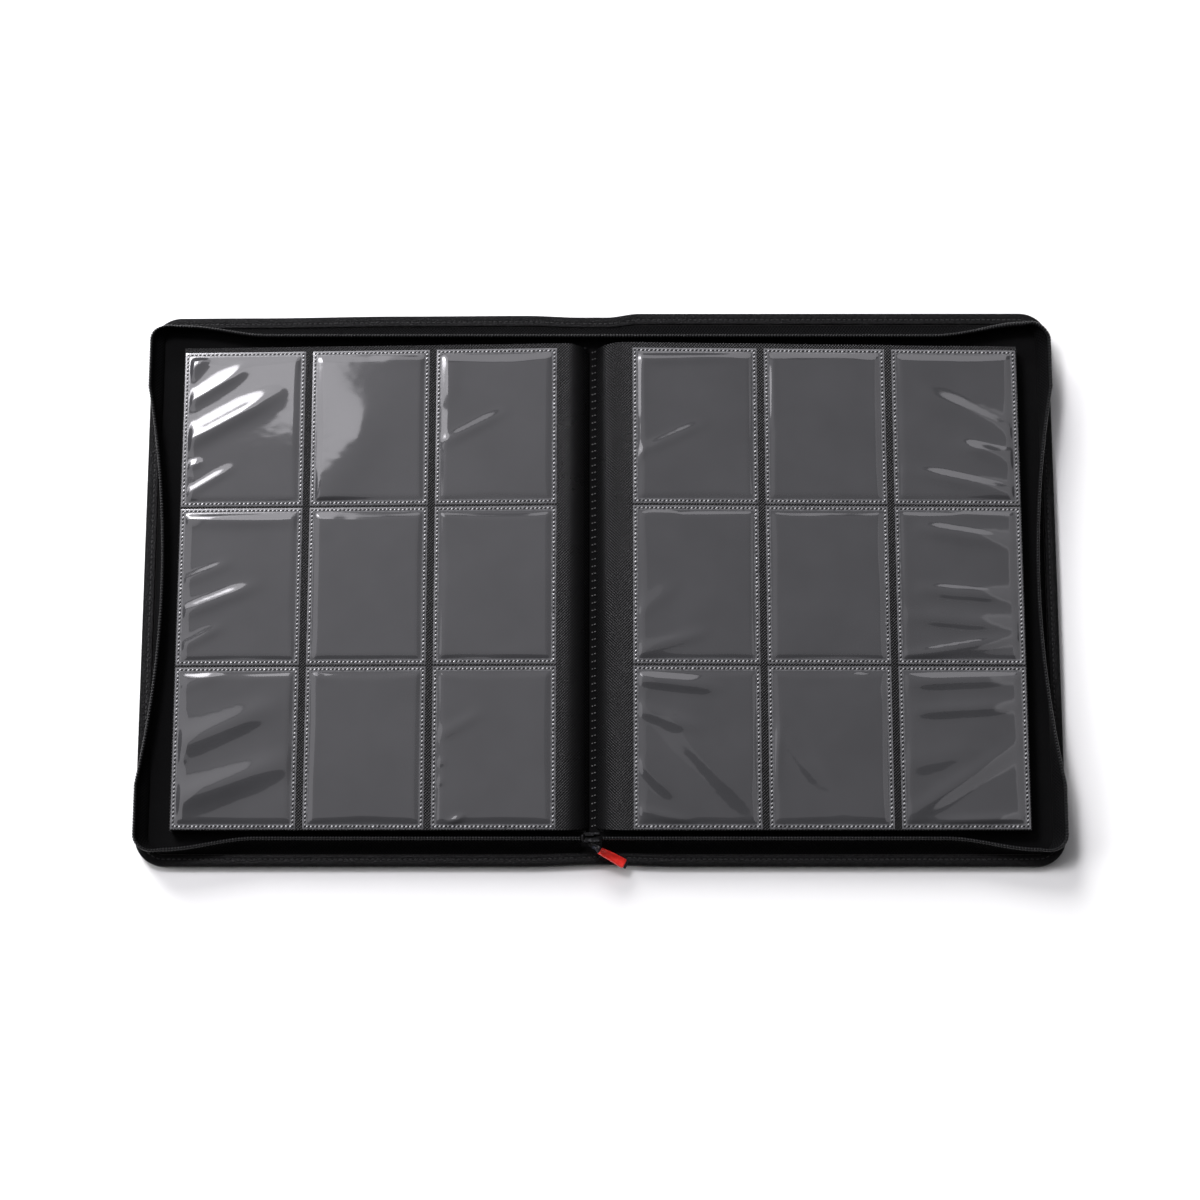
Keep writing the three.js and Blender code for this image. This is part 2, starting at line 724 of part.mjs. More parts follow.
function buildBinder() {
  const binder = new THREE.Group();
  const backSide = new THREE.Group();
  const frontSide = new THREE.Group();
  frontSide.rotation.z = Math.PI;
  binder.add(backSide, frontSide);
  addCover(backSide, 'back');
  addCover(frontSide, 'front');
  addLeaves(backSide, 'right', rightLeafMargin, 1);
  addLeaves(frontSide, 'left', leftLeafMargin, -1);
  addSpine(binder);
  addSlider(binder);
  return binder;
}

export default buildBinder();
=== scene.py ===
"""Looks of the zipper trading card binder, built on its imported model."""

import math
from collections import namedtuple

import bpy
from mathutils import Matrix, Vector, noise


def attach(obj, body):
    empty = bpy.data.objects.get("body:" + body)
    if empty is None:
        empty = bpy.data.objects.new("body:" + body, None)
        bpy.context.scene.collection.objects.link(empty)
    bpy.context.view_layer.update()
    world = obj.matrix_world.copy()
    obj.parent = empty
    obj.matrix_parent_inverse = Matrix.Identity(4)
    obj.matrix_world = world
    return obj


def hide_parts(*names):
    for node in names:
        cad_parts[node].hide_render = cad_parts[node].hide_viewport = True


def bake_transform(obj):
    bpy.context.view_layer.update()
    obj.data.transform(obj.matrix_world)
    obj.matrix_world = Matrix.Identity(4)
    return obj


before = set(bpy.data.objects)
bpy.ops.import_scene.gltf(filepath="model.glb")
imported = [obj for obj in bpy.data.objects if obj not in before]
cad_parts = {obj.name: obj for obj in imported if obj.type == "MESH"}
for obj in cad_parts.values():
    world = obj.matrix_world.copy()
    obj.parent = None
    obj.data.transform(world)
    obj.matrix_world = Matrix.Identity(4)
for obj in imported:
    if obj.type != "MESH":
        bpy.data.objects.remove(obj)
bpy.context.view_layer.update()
scene = bpy.context.scene

# Sizes in millimetres, the same as in the part's source
METRE = 0.001
SPINE_HALF = 12.0
FORE_EDGE_X = 278.0
HALF_HEIGHT = 171.0
CORNER_RADIUS = 18.0
SKIN = 0.8
CREASE_HALF = 0.3
BOARD_BOTTOM = 2.3
BOARD_TOP = 4.3
LAYER_INSET = 1.0
INNER_FACE = 4.7
BAND_WIDTH = 7.0
BAND_TOP = 5.3
TAPE_INSET = 7.7
TAPE_THICKNESS = 0.6
TAPE_ROOT = 4.6
LINING_INSET = 7.3
COIL_BASE = 13.4
COIL_TIP = 15.95
COIL_WIDTH = 2.2
ZIP_START_X = 29.5
RUN_LEAN = 8.0
CORNER_RUN_LEAN = 1.3
CORNER_FORE_LEAN = -6.5
FORE_LEAN = 5.3
RUN_BLEND = 55.0
FORE_HOLD = 30.0
LEAF_INNER_X = 8.7
LEAF_OUTER_X = 255.9
LEAF_HALF = 150.4
FILM_RIM = 0.6
FILM_HEAD_GAP = 4.3
COLUMN_GAP = 4.4
ROW_GAP = 1.5
LEAVES = 10
LEAF_PITCH = 1.0
LEAF_BOTTOM = 5.0
TOP_BACKING = 14.35
TOP_FILM = 14.75
GUTTER_TOP = 5.3

# Fine detail that only this model has
COIL_PITCH = 1.8
STITCH_PITCH = 3.2
STITCH_INSET = 4.3
COVER_BAND_GAP = 0.7
SPINE_BAND_GAP = 0.9
CREASE_LAP = 1.1
LINING_FOOT = 4.34
LEAF_ROWS = 40
WELD_PITCH = 2.5
WELD_OUTER = 0.9
WELD_INNER = 2.1
WELD_BORDER = 2.9
WELD_LIFT = 0.1
FILM_RISE = 0.33
ROOT_LIFT = 0.05
ROOT_PITCH = 0.12
ROOT_STEP = 0.35
ROOT_DRAW = 0.28
SHEET_LIFT = 0.17
FILM_LAYERS = ((0.48, 0.66), (0.02, 0.16))
FOOT_DIP = 1.3

# bend is where a side's leaves leave the flat, and foot where the top one meets the spine
Side = namedtuple("Side", "page cover pages body sign margin bend foot")
SIDES = (
    Side("right", "back", "right_pages", "back_cover", 1, 11.1, 18.0, -2.4),
    Side("left", "front", "left_pages", "front_cover", -1, 18.1, 25.5, 7.6),
)


def clamp(value):
    return min(max(value, 0.0), 1.0)


def smooth(value):
    t = clamp(value)
    return t * t * (3 - 2 * t)


def mix(a, b, t):
    return a + (b - a) * t


def spread(start, end, count):
    """Equal steps from start to end, with both ends."""
    return [mix(start, end, step / count) for step in range(count + 1)]


def waver(x, y, z):
    """Smooth noise, the same at the same place in every run."""
    return noise.noise(Vector((x, y, z)))


# Materials


def grey(level, blue):
    return (level, level, blue)


LOOKS = {}


class Finish:
    """A Principled material, kept in LOOKS by its name, with texture coordinates in millimetres."""

    def __init__(self, name, color, roughness, specular=0.5, on_cad=False, **sockets):
        LOOKS[name] = bpy.data.materials.new(name)
        LOOKS[name].use_nodes = True
        self.tree = LOOKS[name].node_tree
        self.shader = self.tree.nodes["Principled BSDF"]
        self.feed(self.shader, Base_Color=(*color, 1), Roughness=roughness, Specular_IOR_Level=specular)
        self.feed(self.shader, **sockets)
        scale = self.add("VectorMath")
        scale.operation = "SCALE"
        self.plug(self.add("TexCoord").outputs["Object" if on_cad else "UV"], scale.inputs[0])
        self.feed(scale, Scale=1 / METRE if on_cad else 1)
        self.place = scale.outputs[0]
        self.u, self.v = self.add("SeparateXYZ", Vector=self.place).outputs[:2]

    def plug(self, value, socket):
        """Gives a socket the output of another node, or else a number or a colour."""
        if isinstance(value, bpy.types.NodeSocket):
            self.tree.links.new(value, socket)
        else:
            socket.default_value = value

    def feed(self, node, **inputs):
        for name, value in inputs.items():
            self.plug(value, node.inputs[name.replace("_", " ")])

    def add(self, kind, **inputs):
        node = self.tree.nodes.new(f"ShaderNode{kind}")
        self.feed(node, **inputs)
        return node

    def value(self, operation, a, b=0):
        node = self.add("Math")
        node.operation = operation
        self.plug(a, node.inputs[0])
        self.plug(b, node.inputs[1])
        return node.outputs[0]

    def wave(self, along_u, along_v, pitch):
        turn = 2 * math.pi / pitch
        a = self.value("MULTIPLY", self.u, along_u * turn)
        b = self.value("MULTIPLY", self.v, along_v * turn)
        return self.value("SINE", self.value("ADD", a, b))

    def noise(self, size, detail=3, rough=0.55):
        node = self.add("TexNoise", Vector=self.place, Scale=1 / size, Detail=detail, Roughness=rough)
        return node.outputs["Fac"]

    def cells(self, size):
        node = self.add("TexVoronoi", Vector=self.place, Scale=1 / size)
        node.feature = "DISTANCE_TO_EDGE"
        return node.outputs["Distance"]

    def color(self, height, low, high, start=0, end=1):
        node = self.add("ValToRGB")
        self.plug(height, node.inputs[0])
        for element, place, color in zip(node.color_ramp.elements, (start, end), (low, high)):
            element.position = place
            element.color = (*color, 1)
        self.feed(self.shader, Base_Color=node.outputs[0])

    def roughness(self, height, low, high):
        node = self.add("MapRange", Value=height, To_Min=low, To_Max=high)
        self.feed(self.shader, Roughness=node.outputs[0])

    def bump(self, height, depth, strength=1, coat=False):
        node = self.add("Bump", Strength=strength, Distance=depth * METRE, Height=height)
        self.feed(self.shader, Normal=node.outputs[0])
        if coat:
            self.feed(self.shader, Coat_Normal=node.outputs[0])


def leatherette():
    look = Finish("leatherette", grey(0.003, 0.0032), 0.5, specular=0.2)
    grain = look.value("POWER", look.cells(1.7), 0.5)
    patches = look.noise(2.4, 5, 0.7)
    look.color(patches, grey(0.0006, 0.0007), grey(0.0075, 0.008), 0.38, 0.7)
    look.roughness(grain, 0.6, 0.26)
    fine = look.value("MULTIPLY", look.noise(0.6), 0.5)
    look.bump(look.value("ADD", grain, fine), 0.3)


def lining_cloth():
    look = Finish("lining_cloth", grey(0.003, 0.0032), 0.95, Sheen_Weight=0.03, specular=0.12)
    weave = look.value("MULTIPLY", look.wave(1, 0, 0.8), look.wave(0, 1, 0.8))
    look.color(look.value("ADD", weave, look.noise(20)), grey(0.0022, 0.0024), grey(0.005, 0.0053))
    look.bump(look.value("ADD", weave, look.noise(2.5)), 0.08, 0.6)


def zip_tape_cloth():
    look = Finish("zip_tape_cloth", grey(0.005, 0.0055), 0.85, Sheen_Weight=0.01, specular=0.06)
    twill = look.value("ADD", look.wave(1, 0.8, 1.9), look.wave(1, -0.8, 1.9))
    look.color(look.value("ADD", twill, look.noise(5)), grey(0.0007, 0.0008), grey(0.0045, 0.0048))
    look.bump(twill, 0.12, 0.7)


def woven_backing():
    look = Finish("woven_backing", grey(0.004, 0.0043), 0.3, specular=0.33)
    diamonds = look.value("ADD", look.wave(1, 1, 1.8), look.wave(1, -1, 1.8))
    look.color(diamonds, grey(0.0012, 0.0013), grey(0.007, 0.0076))
    look.roughness(look.noise(14), 0.22, 0.36)
    look.bump(look.value("ADD", diamonds, look.noise(5)), 0.07, 0.9)


def pocket_film():
    look = Finish(
        "pocket_film", grey(0.034, 0.037), 0.45, Coat_Weight=1, Coat_IOR=1.7, Coat_Roughness=0.05,
        specular=0.2,
    )
    look.color(look.noise(38, 2), grey(0.031, 0.0338), grey(0.037, 0.0403), 0.3, 0.7)
    look.bump(look.noise(9, 2), 0.02, 0.3)


def weld_mark():
    look = Finish("weld_mark", grey(0.4, 0.41), 0.3, Coat_Weight=1, Coat_Roughness=0.12)
    look.color(look.noise(3.0, 2), grey(0.1, 0.105), grey(0.42, 0.435), 0.35, 0.65)
    look.bump(look.noise(0.5), 0.03, 0.4)


def weld_groove():
    look = Finish("weld_groove", grey(0.006, 0.007), 0.4, specular=0.2)
    look.color(look.noise(1.2, 2), grey(0.003, 0.0035), grey(0.016, 0.017), 0.35, 0.8)
    look.bump(look.noise(0.6), 0.08, 0.6)


# The rim's lighter colour is a painted highlight. It stands in for light that the film's rounded edge
# round each pocket catches.
def film_rim_painted_highlight():
    look = Finish("film_rim_painted_highlight", grey(0.1, 0.105), 0.25, Coat_Weight=1, Coat_Roughness=0.08)
    look.color(look.noise(2.2, 2), grey(0.03, 0.033), grey(0.11, 0.117), 0.3, 0.7)
    look.bump(look.noise(1.6), 0.06, 0.6, coat=True)


def zip_nylon():
    look = Finish("zip_nylon", grey(0.006, 0.0065), 0.3, specular=0.35)
    look.color(look.noise(1.5, 2), grey(0.004, 0.0045), grey(0.012, 0.0125), 0.3, 0.7)
    look.bump(look.noise(0.6), 0.03, 0.5)


def thread(name, low, high):
    look = Finish(name, high, 0.6, Sheen_Weight=0.2)
    look.color(look.wave(1, 1, 0.5), low, high)
    look.bump(look.wave(1, 1, 0.5), 0.06, 0.6)


def slider_metal(name, low, high, end):
    """Black lacquer over metal, lighter in random patches where the lacquer is worn off. The light
    patches are partly painted highlight: they also stand in for glints on the metal.
    """
    look = Finish(name, low, 0.3, on_cad=True, Metallic=0.5)
    wear_and_glint = look.noise(1.8, 4, 0.7)
    look.color(wear_and_glint, low, high, 0.5, end)
    look.roughness(wear_and_glint, 0.22, 0.4)
    look.bump(look.noise(0.5), 0.02, 0.4)


def red_rubber():
    look = Finish("red_rubber", (0.7, 0.014, 0.012), 0.36)
    look.color(look.noise(2.2, 4, 0.65), (0.84, 0.014, 0.011), (1.0, 0.06, 0.04), 0.35, 0.75)
    look.bump(look.noise(0.8, 4), 0.14, 0.7)


def strap_plastic():
    look = Finish("strap_plastic", (0.012, 0.014, 0.024), 0.4)
    look.color(look.noise(1.0, 3), (0.008, 0.009, 0.014), (0.03, 0.034, 0.055), 0.35, 0.75)
    look.bump(look.wave(1, 1, 0.6), 0.06, 0.5)


def hidden_fill(name, color):
    look = Finish(name, color, 0.9)
    low, high = (tuple(share * c for c in color) for share in (0.7, 1.2))
    look.color(look.noise(1.4), low, high, 0.3, 0.7)
    look.bump(look.noise(0.8), 0.1, 0.5)


# Meshes, given in millimetres with a texture place for every point

# How far the covers' head edge stands off a straight line, at places along the binder
HEAD_LINE = [
    (-278, -1.4), (-213, -1.0), (-122, 0.2), (-45, 0.6), (-13, -0.5), (4, -0.5), (24, 1.9), (278, 2.0),
]
EDGE_START = 158
EDGE_FADE = 8
PAST_BINDER = 200
FOOT_DIP_REACH = 45


def head_line(x):
    for (x0, y0), (x1, y1) in zip(HEAD_LINE, HEAD_LINE[1:]):
        if x <= x1:
            return mix(y0, y1, smooth((x - x0) / (x1 - x0)))
    return HEAD_LINE[-1][1]


def off_line(point):
    """The cover edges at head and foot aren't quite straight: they draw in beside the spine."""
    x, y, z = point
    share = smooth((abs(y) - EDGE_START) / EDGE_FADE)
    if share == 0 or abs(y) > PAST_BINDER:
        return point
    if y > 0:
        return (x, y + share * head_line(x), z)
    return (x, y + share * FOOT_DIP * (1 - smooth(abs(x) / FOOT_DIP_REACH)), z)


def show(name, data):
    """Puts a mesh, a light or a camera into the scene."""
    thing = bpy.data.objects.new(name, data)
    scene.collection.objects.link(thing)
    return thing


SHARP_ANGLE = math.radians(55)


def add_mesh(name, points, faces, places, looks, slots=None):
    mesh = bpy.data.meshes.new(name)
    mesh.from_pydata([[c * METRE for c in off_line(point)] for point in points], [], faces)
    for look in looks:
        mesh.materials.append(LOOKS[look])
    layer = mesh.uv_layers.new(name="UVMap")
    for loop in mesh.loops:
        layer.data[loop.index].uv = places[loop.vertex_index]
    if slots:
        mesh.polygons.foreach_set("material_index", slots)
    mesh.shade_smooth()
    mesh.set_sharp_from_angle(angle=SHARP_ANGLE)
    return show(name, mesh)


def net(rows, columns, closed=False):
    """Faces of a net of points, row by row. Closed joins the last column to the first."""
    faces = []
    for row in range(rows - 1):
        for column in range(columns if closed else columns - 1):
            a = row * columns + column
            b = row * columns + (column + 1) % columns
            faces.append((a, b, b + columns, a + columns))
    return faces


class Pieces:
    """Points and faces of one mesh, gathered bit by bit."""

    def __init__(self):
        self.points, self.faces, self.places, self.slots = [], [], [], []

    def add(self, points, faces, places, slots=None):
        start = len(self.points)
        self.points.extend(points)
        self.faces.extend(tuple(start + index for index in face) for face in faces)
        self.places.extend(places)
        self.slots.extend(slots or [0] * len(faces))

    def add_tube(self, rings, slots=None, flat=False):
        """A closed skin over rings of points. flat takes its texture places from above."""
        count = len(rings[0])
        points = [point for ring in rings for point in ring]
        places = []
        travelled = 0.0
        for index, ring in enumerate(rings):
            if index:
                travelled += math.dist(ring[0], rings[index - 1][0])
            around = 0.0
            for side, point in enumerate(ring):
                if side:
                    around += math.dist(point, ring[side - 1])
                places.append(point[:2] if flat else (travelled, around))
        faces = net(len(rings), count, closed=True)
        last = (len(rings) - 1) * count
        faces.append(tuple(range(count))[::-1])
        faces.append(tuple(range(last, last + count)))
        all_slots = slots * (len(rings) - 1) + [slots[0], slots[0]] if slots else None
        self.add(points, faces, places, all_slots)

    def skew(self, side, skew):
        self.points = [skewed(side, point, skew) for point in self.points]

    def build(self, name, looks):
        return add_mesh(name, self.points, self.faces, self.places, looks, self.slots)


def tube(name, rings, *looks, slots=None, flat=False):
    pieces = Pieces()
    pieces.add_tube(rings, slots, flat)
    return pieces.build(name, looks)


def label(node=None):
    """Hides the imported part that a piece stands for, when one is named."""
    if node:
        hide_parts(node)


def fix(piece, body, node=None):
    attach(piece, body)
    label(node)


def bend(piece, node=None):
    """Bakes a piece's placement into its mesh, and hides the imported part that it stands for."""
    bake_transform(piece)
    label(node)


def turned(side, point):
    x, y, z = point
    return (side.sign * x, side.sign * y, z)


# The edge of a cover, followed from the foot of the spine round to its head

Station = namedtuple("Station", "x y in_x in_y lean")


def tape_lean(along, run, arc, fore):
    if along < run:
        return mix(CORNER_RUN_LEAN, RUN_LEAN, smooth((run - along) / RUN_BLEND))
    if along < run + arc:
        return mix(CORNER_RUN_LEAN, CORNER_FORE_LEAN, smooth((along - run) / arc))
    past = clamp((along - run - arc - FORE_HOLD) / (fore / 2 - FORE_HOLD))
    return mix(CORNER_FORE_LEAN, FORE_LEAN, 1 - (1 - past) ** 2)


def edge_stations(inset, start_x=SPINE_HALF + CREASE_HALF, spacing=3.0):
    radius = CORNER_RADIUS - inset
    corner_x = FORE_EDGE_X - CORNER_RADIUS
    corner_y = HALF_HEIGHT - CORNER_RADIUS
    run = corner_x - start_x
    arc = radius * math.pi / 2
    fore = 2 * corner_y
    total = 2 * run + 2 * arc + fore
    count = round(total / spacing)
    stations = []
    for index in range(count + 1):
        distance = total * index / count
        sign = -1 if distance < total / 2 else 1
        along = min(distance, total - distance)
        lean = tape_lean(along, run, arc, fore)
        if along < run:
            stations.append(Station(start_x + along, sign * (HALF_HEIGHT - inset), 0, -sign, lean))
        elif along < run + arc:
            angle = (along - run) / radius
            x = corner_x + radius * math.sin(angle)
            y = sign * (corner_y + radius * math.cos(angle))
            stations.append(Station(x, y, -math.sin(angle), -sign * math.cos(angle), lean))
        else:
            y = sign * (corner_y + arc + run - along)
            stations.append(Station(FORE_EDGE_X - inset, y, -1, 0, lean))
    return stations


def off_edge(station, inward, z):
    return (station.x + station.in_x * inward, station.y + station.in_y * inward, z)


# Skins: trays of leatherette with a rounded foot

TRAY_PROFILE = [
    (1.4, 0.0), (0.6, 0.06), (0.15, 0.35), (0.0, 0.9), (0.0, 4.0), (0.12, 4.24),
    (0.4, 4.28), (SKIN, 4.28), (SKIN, 0.85),
]


def add_cover_skin(side):
    stations = edge_stations(0)
    rings = []
    for inset, z in TRAY_PROFILE:
        rings.append([turned(side, off_edge(station, inset, z)) for station in stations])
    skin = tube(f"{side.cover}_skin_leather", rings, "leatherette", flat=True)
    fix(skin, side.body, f"{side.cover}_cover_skin")


def add_spine_skin():
    half = SPINE_HALF - CREASE_HALF
    rings = []
    for inset, z in TRAY_PROFILE:
        y = HALF_HEIGHT - inset
        foot = [(x, -y, z) for x in spread(-half, half, 8)]
        rings.append(foot + [(-x, y, z) for x, _, _ in foot])
    skin = tube("spine_skin_leather", rings, "leatherette", flat=True)
    fix(skin, "spine", "spine_skin")


# Padding and board inside the skins

LAYER_END = 1.3


def layer_profile(low, high):
    return [(0.3, low), (0.0, low + 0.2), (0.0, high - 0.2), (0.3, high)]


def add_cover_layer(side, name, low, high, look):
    outline = edge_stations(LAYER_INSET, SPINE_HALF + LAYER_END)
    rings = []
    for inset, z in layer_profile(low, high):
        rings.append([turned(side, off_edge(station, inset, z)) for station in outline])
    layer = tube(f"{side.cover}_{name}_sheet", rings, look, flat=True)
    fix(layer, side.body, f"{side.cover}_cover_{name}")
    return layer


def add_spine_layer(name, low, high, look):
    half = SPINE_HALF - LAYER_END
    reach = HALF_HEIGHT - LAYER_INSET
    rings = []
    for inset, z in layer_profile(low, high):
        y = reach - inset
        head = [(x, y, z) for x in spread(half - inset, inset - half, 6)]
        rings.append(head + [(-x, -y, z) for x, _, _ in head])
    layer = tube(f"spine_{name}_sheet", rings, look, flat=True)
    fix(layer, "spine", f"spine_{name}")
    return layer


def add_layers():
    for name, look, low, high in (
        ("padding", "padding_foam", SKIN + 0.05, BOARD_BOTTOM),
        ("board", "dark_board", BOARD_BOTTOM, BOARD_TOP),
    ):
        layers = [add_cover_layer(side, name, low, high, look) for side in SIDES]
        layers.append(add_spine_layer(name, low, high, look))


# Edge band: a folded strip with a stitched valley

BAND_PROFILE = [
    (7.0, 4.32), (7.0, 4.9), (6.7, 5.2), (6.1, 5.34), (5.1, 5.3), (4.3, 5.08), (3.5, 5.3),
    (2.0, 5.38), (0.9, 5.28), (0.3, 5.0), (0.03, 4.6), (0.03, 4.32),
]


def pucker(inset, distance):
    on_face = 2 < inset < 6.5
    return 0.06 * math.cos(2 * math.pi * distance / STITCH_PITCH) if on_face else 0


def add_cover_band(side):
    spacing = 1.6
    rings = []
    for index, station in enumerate(edge_stations(0, SPINE_HALF + COVER_BAND_GAP, spacing)):
        wave = 0.12 * waver(station.x / 16, station.y / 16, 2.0)
        ring = []
        for inset, z in BAND_PROFILE:
            level = z + pucker(inset, index * spacing) + (wave if z > 5 else 0)
            ring.append(turned(side, off_edge(station, inset, level)))
        rings.append(ring)
    band = tube(f"{side.cover}_band_leather", rings, "leatherette")
    fix(band, side.body, f"{side.cover}_edge_band")


def add_spine_band(sign):
    name = "top" if sign > 0 else "bottom"
    half = SPINE_HALF - SPINE_BAND_GAP
    rings = []
    for x in spread(-half, half, 16):
        rings.append([
            (-sign * x, sign * (HALF_HEIGHT - inset), z + pucker(inset, x)) for inset, z in BAND_PROFILE
        ])
    band = tube(f"spine_{name}_band_leather", rings, "leatherette")
    fix(band, "spine", f"spine_{name}_band")


Seat = namedtuple("Seat", "x y z ahead_x ahead_y")

# Places along a stitch, as a share of its length, with its thickness there and how far it sinks
STITCH_PARTS = [
    (-0.5, 0.35, 0.2), (-0.38, 0.9, 0.03), (0.0, 1.0, 0.0), (0.38, 0.9, 0.03), (0.5, 0.35, 0.2),
]
BAND_STITCH_Z = 5.2


def add_stitches(name, seats, body, look, radius=0.34, length=2.2):
    """One mesh of short thread stitches. A seat is a middle point and a level direction."""
    pieces = Pieces()
    for seat in seats:
        rings = []
        for offset, scale, drop in STITCH_PARTS:
            ring = []
            for step in range(6):
                angle = 2 * math.pi * step / 6
                across = radius * scale * math.cos(angle)
                ring.append((
                    seat.x + seat.ahead_x * offset * length - seat.ahead_y * across,
                    seat.y + seat.ahead_y * offset * length + seat.ahead_x * across,
                    seat.z - drop + radius * scale * math.sin(angle),
                ))
            rings.append(ring)
        pieces.add_tube(rings)
    fix(pieces.build(name, [look]), body)


def add_cover_stitches(side):
    stations = edge_stations(STITCH_INSET, SPINE_HALF + 2, STITCH_PITCH)
    seats = []
    for before, station, after in zip(stations, stations[1:], stations[2:]):
        ahead = Vector((after.x - before.x, after.y - before.y)).normalized() * side.sign
        seats.append(Seat(*turned(side, (station.x, station.y, BAND_STITCH_Z)), *ahead))
    add_stitches(f"{side.cover}_band_stitches", seats, side.body, "band_thread")


def add_spine_stitches():
    seats = []
    for sign in (-1, 1):
        for step in range(-3, 4):
            y = sign * (HALF_HEIGHT - STITCH_INSET)
            seats.append(Seat(step * STITCH_PITCH, y, BAND_STITCH_Z, 1, 0))
    add_stitches("spine_band_stitches", seats, "spine", "band_thread")


# Creases: the leatherette and lining that run on between the spine and a cover


def crease_loop():
    """The section across a crease, as y and z, and the material of each face of it."""
    lining_z = 4.66
    outer = [(HALF_HEIGHT - inset, z) for inset, z in TRAY_PROFILE[:5]]
    band = [(HALF_HEIGHT - inset, z) for inset, z in reversed(BAND_PROFILE[1:-1])]
    lining_end = HALF_HEIGHT - BAND_WIDTH
    flank = outer + band + [(lining_end, lining_z)]
    inner = [(share * lining_end, lining_z) for share in spread(1, -1, 12)[1:-1]]
    far = [(-y, z) for y, z in reversed(flank)]
    under = [(share * outer[0][0], 0.0) for share in spread(-1, 1, 12)[1:-1]]
    loop = flank + inner + far + under
    lining = range(len(flank) - 1, len(flank) + len(inner))
    return loop, [int(index in lining) for index in range(len(loop))]


def add_crease(side):
    loop, slots = crease_loop()
    lap = spread(SPINE_HALF - CREASE_LAP, SPINE_HALF + CREASE_LAP, 12)
    rings = [[(side.sign * x, y, z) for y, z in loop] for x in lap]
    crease = tube(f"{side.cover}_crease", rings, "leatherette", "lining_cloth", slots=slots)
    bend(crease)


# Lining cloth


def add_cover_lining(side):
    outline = edge_stations(LINING_INSET)
    middle_x = 140.0
    rings = []
    for inset, z in ((0.0, LINING_FOOT), (0.0, 4.6), (0.4, INNER_FACE), (5.0, 4.69)):
        ring = []
        for x, y, *_ in outline:
            pull = Vector((middle_x - x, -y)).normalized() * inset
            ripple = 0.04 * waver(x / 18, y / 18, 3.0) if inset else 0
            ring.append(turned(side, (x + pull.x, y + pull.y, z + ripple)))
        rings.append(ring)
    lining = tube(f"{side.cover}_lining_cloth", rings, "lining_cloth", flat=True)
    fix(lining, side.body, f"{side.cover}_cover_lining")


def add_spine_lining():
    half = SPINE_HALF - CREASE_HALF
    side_z = 4.68
    reach = HALF_HEIGHT - LINING_INSET
    rings = []
    for y in spread(-reach, reach, 60):
        ripple = 0.05 * waver(0.0, y / 15, 7.0)
        rings.append([
            (half, y, LINING_FOOT), (half, y, side_z), (0, y, INNER_FACE + ripple), (-half, y, side_z),
            (-half, y, LINING_FOOT),
        ])
    lining = tube("spine_lining_cloth", rings, "lining_cloth")
    fix(lining, "spine", "spine_lining")


# Zip tape and coil


def tape_across(lean, t):
    band_pass = (BAND_TOP - TAPE_ROOT) / (COIL_BASE - TAPE_ROOT)
    if lean < 0:
        return lean * smooth((t - band_pass) / (1 - band_pass))
    return lean * (1 - (1 - t) ** 2.5)


def tape_ring(station, distance):
    ripple = 0.25 * math.sin(distance / 6.1) * math.sin(distance / 23.0 + 1)
    half = TAPE_THICKNESS / 2 - 0.03
    inner, outer = [], []
    for t in spread(0, 1, 9):
        across = tape_across(station.lean, t) + ripple * 4 * t * (1 - t)
        z = mix(TAPE_ROOT, COIL_BASE, t)
        inner.append(off_edge(station, across + half, z))
        outer.append(off_edge(station, across - half, z))
    return inner + outer[::-1]


def add_tape(side):
    spacing = 2.0
    rings = []
    for index, station in enumerate(edge_stations(TAPE_INSET, ZIP_START_X, spacing)):
        rings.append([turned(side, point) for point in tape_ring(station, index * spacing)])
    tape = tube(f"{side.cover}_tape_cloth", rings, "zip_tape_cloth")
    fix(tape, side.body, f"{side.cover}_zip_tape")


# Places in one turn of the coil, with its thickness there
COIL_PHASES = [(0.0, 0.55), (0.22, 0.97), (0.5, 1.0), (0.78, 0.97)]


def coil_rings(line):
    """Rings of a ribbed strip along a line of (point, inward direction)."""
    sides = 8
    middle_z = (COIL_BASE + COIL_TIP) / 2
    tall = (COIL_TIP - COIL_BASE) / 2
    wide = COIL_WIDTH / 2
    lengths = [0.0]
    for (a, _), (b, _) in zip(line, line[1:]):
        lengths.append(lengths[-1] + math.dist(a, b))
    turns = int(lengths[-1] / COIL_PITCH)
    rings = []
    index = 0
    for turn in range(turns):
        for phase, scale in COIL_PHASES:
            wanted = (turn + phase) * lengths[-1] / turns
            while index < len(lengths) - 2 and lengths[index + 1] < wanted:
                index += 1
            t = (wanted - lengths[index]) / (lengths[index + 1] - lengths[index])
            (a, a_in), (b, b_in) = line[index], line[index + 1]
            ahead = Vector((b[0] - a[0], b[1] - a[1])).normalized()
            ring = []
            for step in range(sides):
                angle = 2 * math.pi * (step + 0.5) / sides
                across = wide * scale * math.cos(angle)
                slant = 0.25 * math.sin(angle)
                ring.append((
                    mix(a[0], b[0], t) + mix(a_in[0], b_in[0], t) * across + ahead.x * slant,
                    mix(a[1], b[1], t) + mix(a_in[1], b_in[1], t) * across + ahead.y * slant,
                    middle_z + tall * scale * math.sin(angle),
                ))
            rings.append(ring)
    return rings


def add_coil(side):
    line = []
    for station in edge_stations(TAPE_INSET, ZIP_START_X, 0.5):
        point = turned(side, off_edge(station, station.lean, 0))
        line.append((point, (side.sign * station.in_x, side.sign * station.in_y)))
    coil = tube(f"{side.cover}_coil", coil_rings(line), "zip_nylon")
    fix(coil, side.body, f"{side.cover}_zip_teeth")


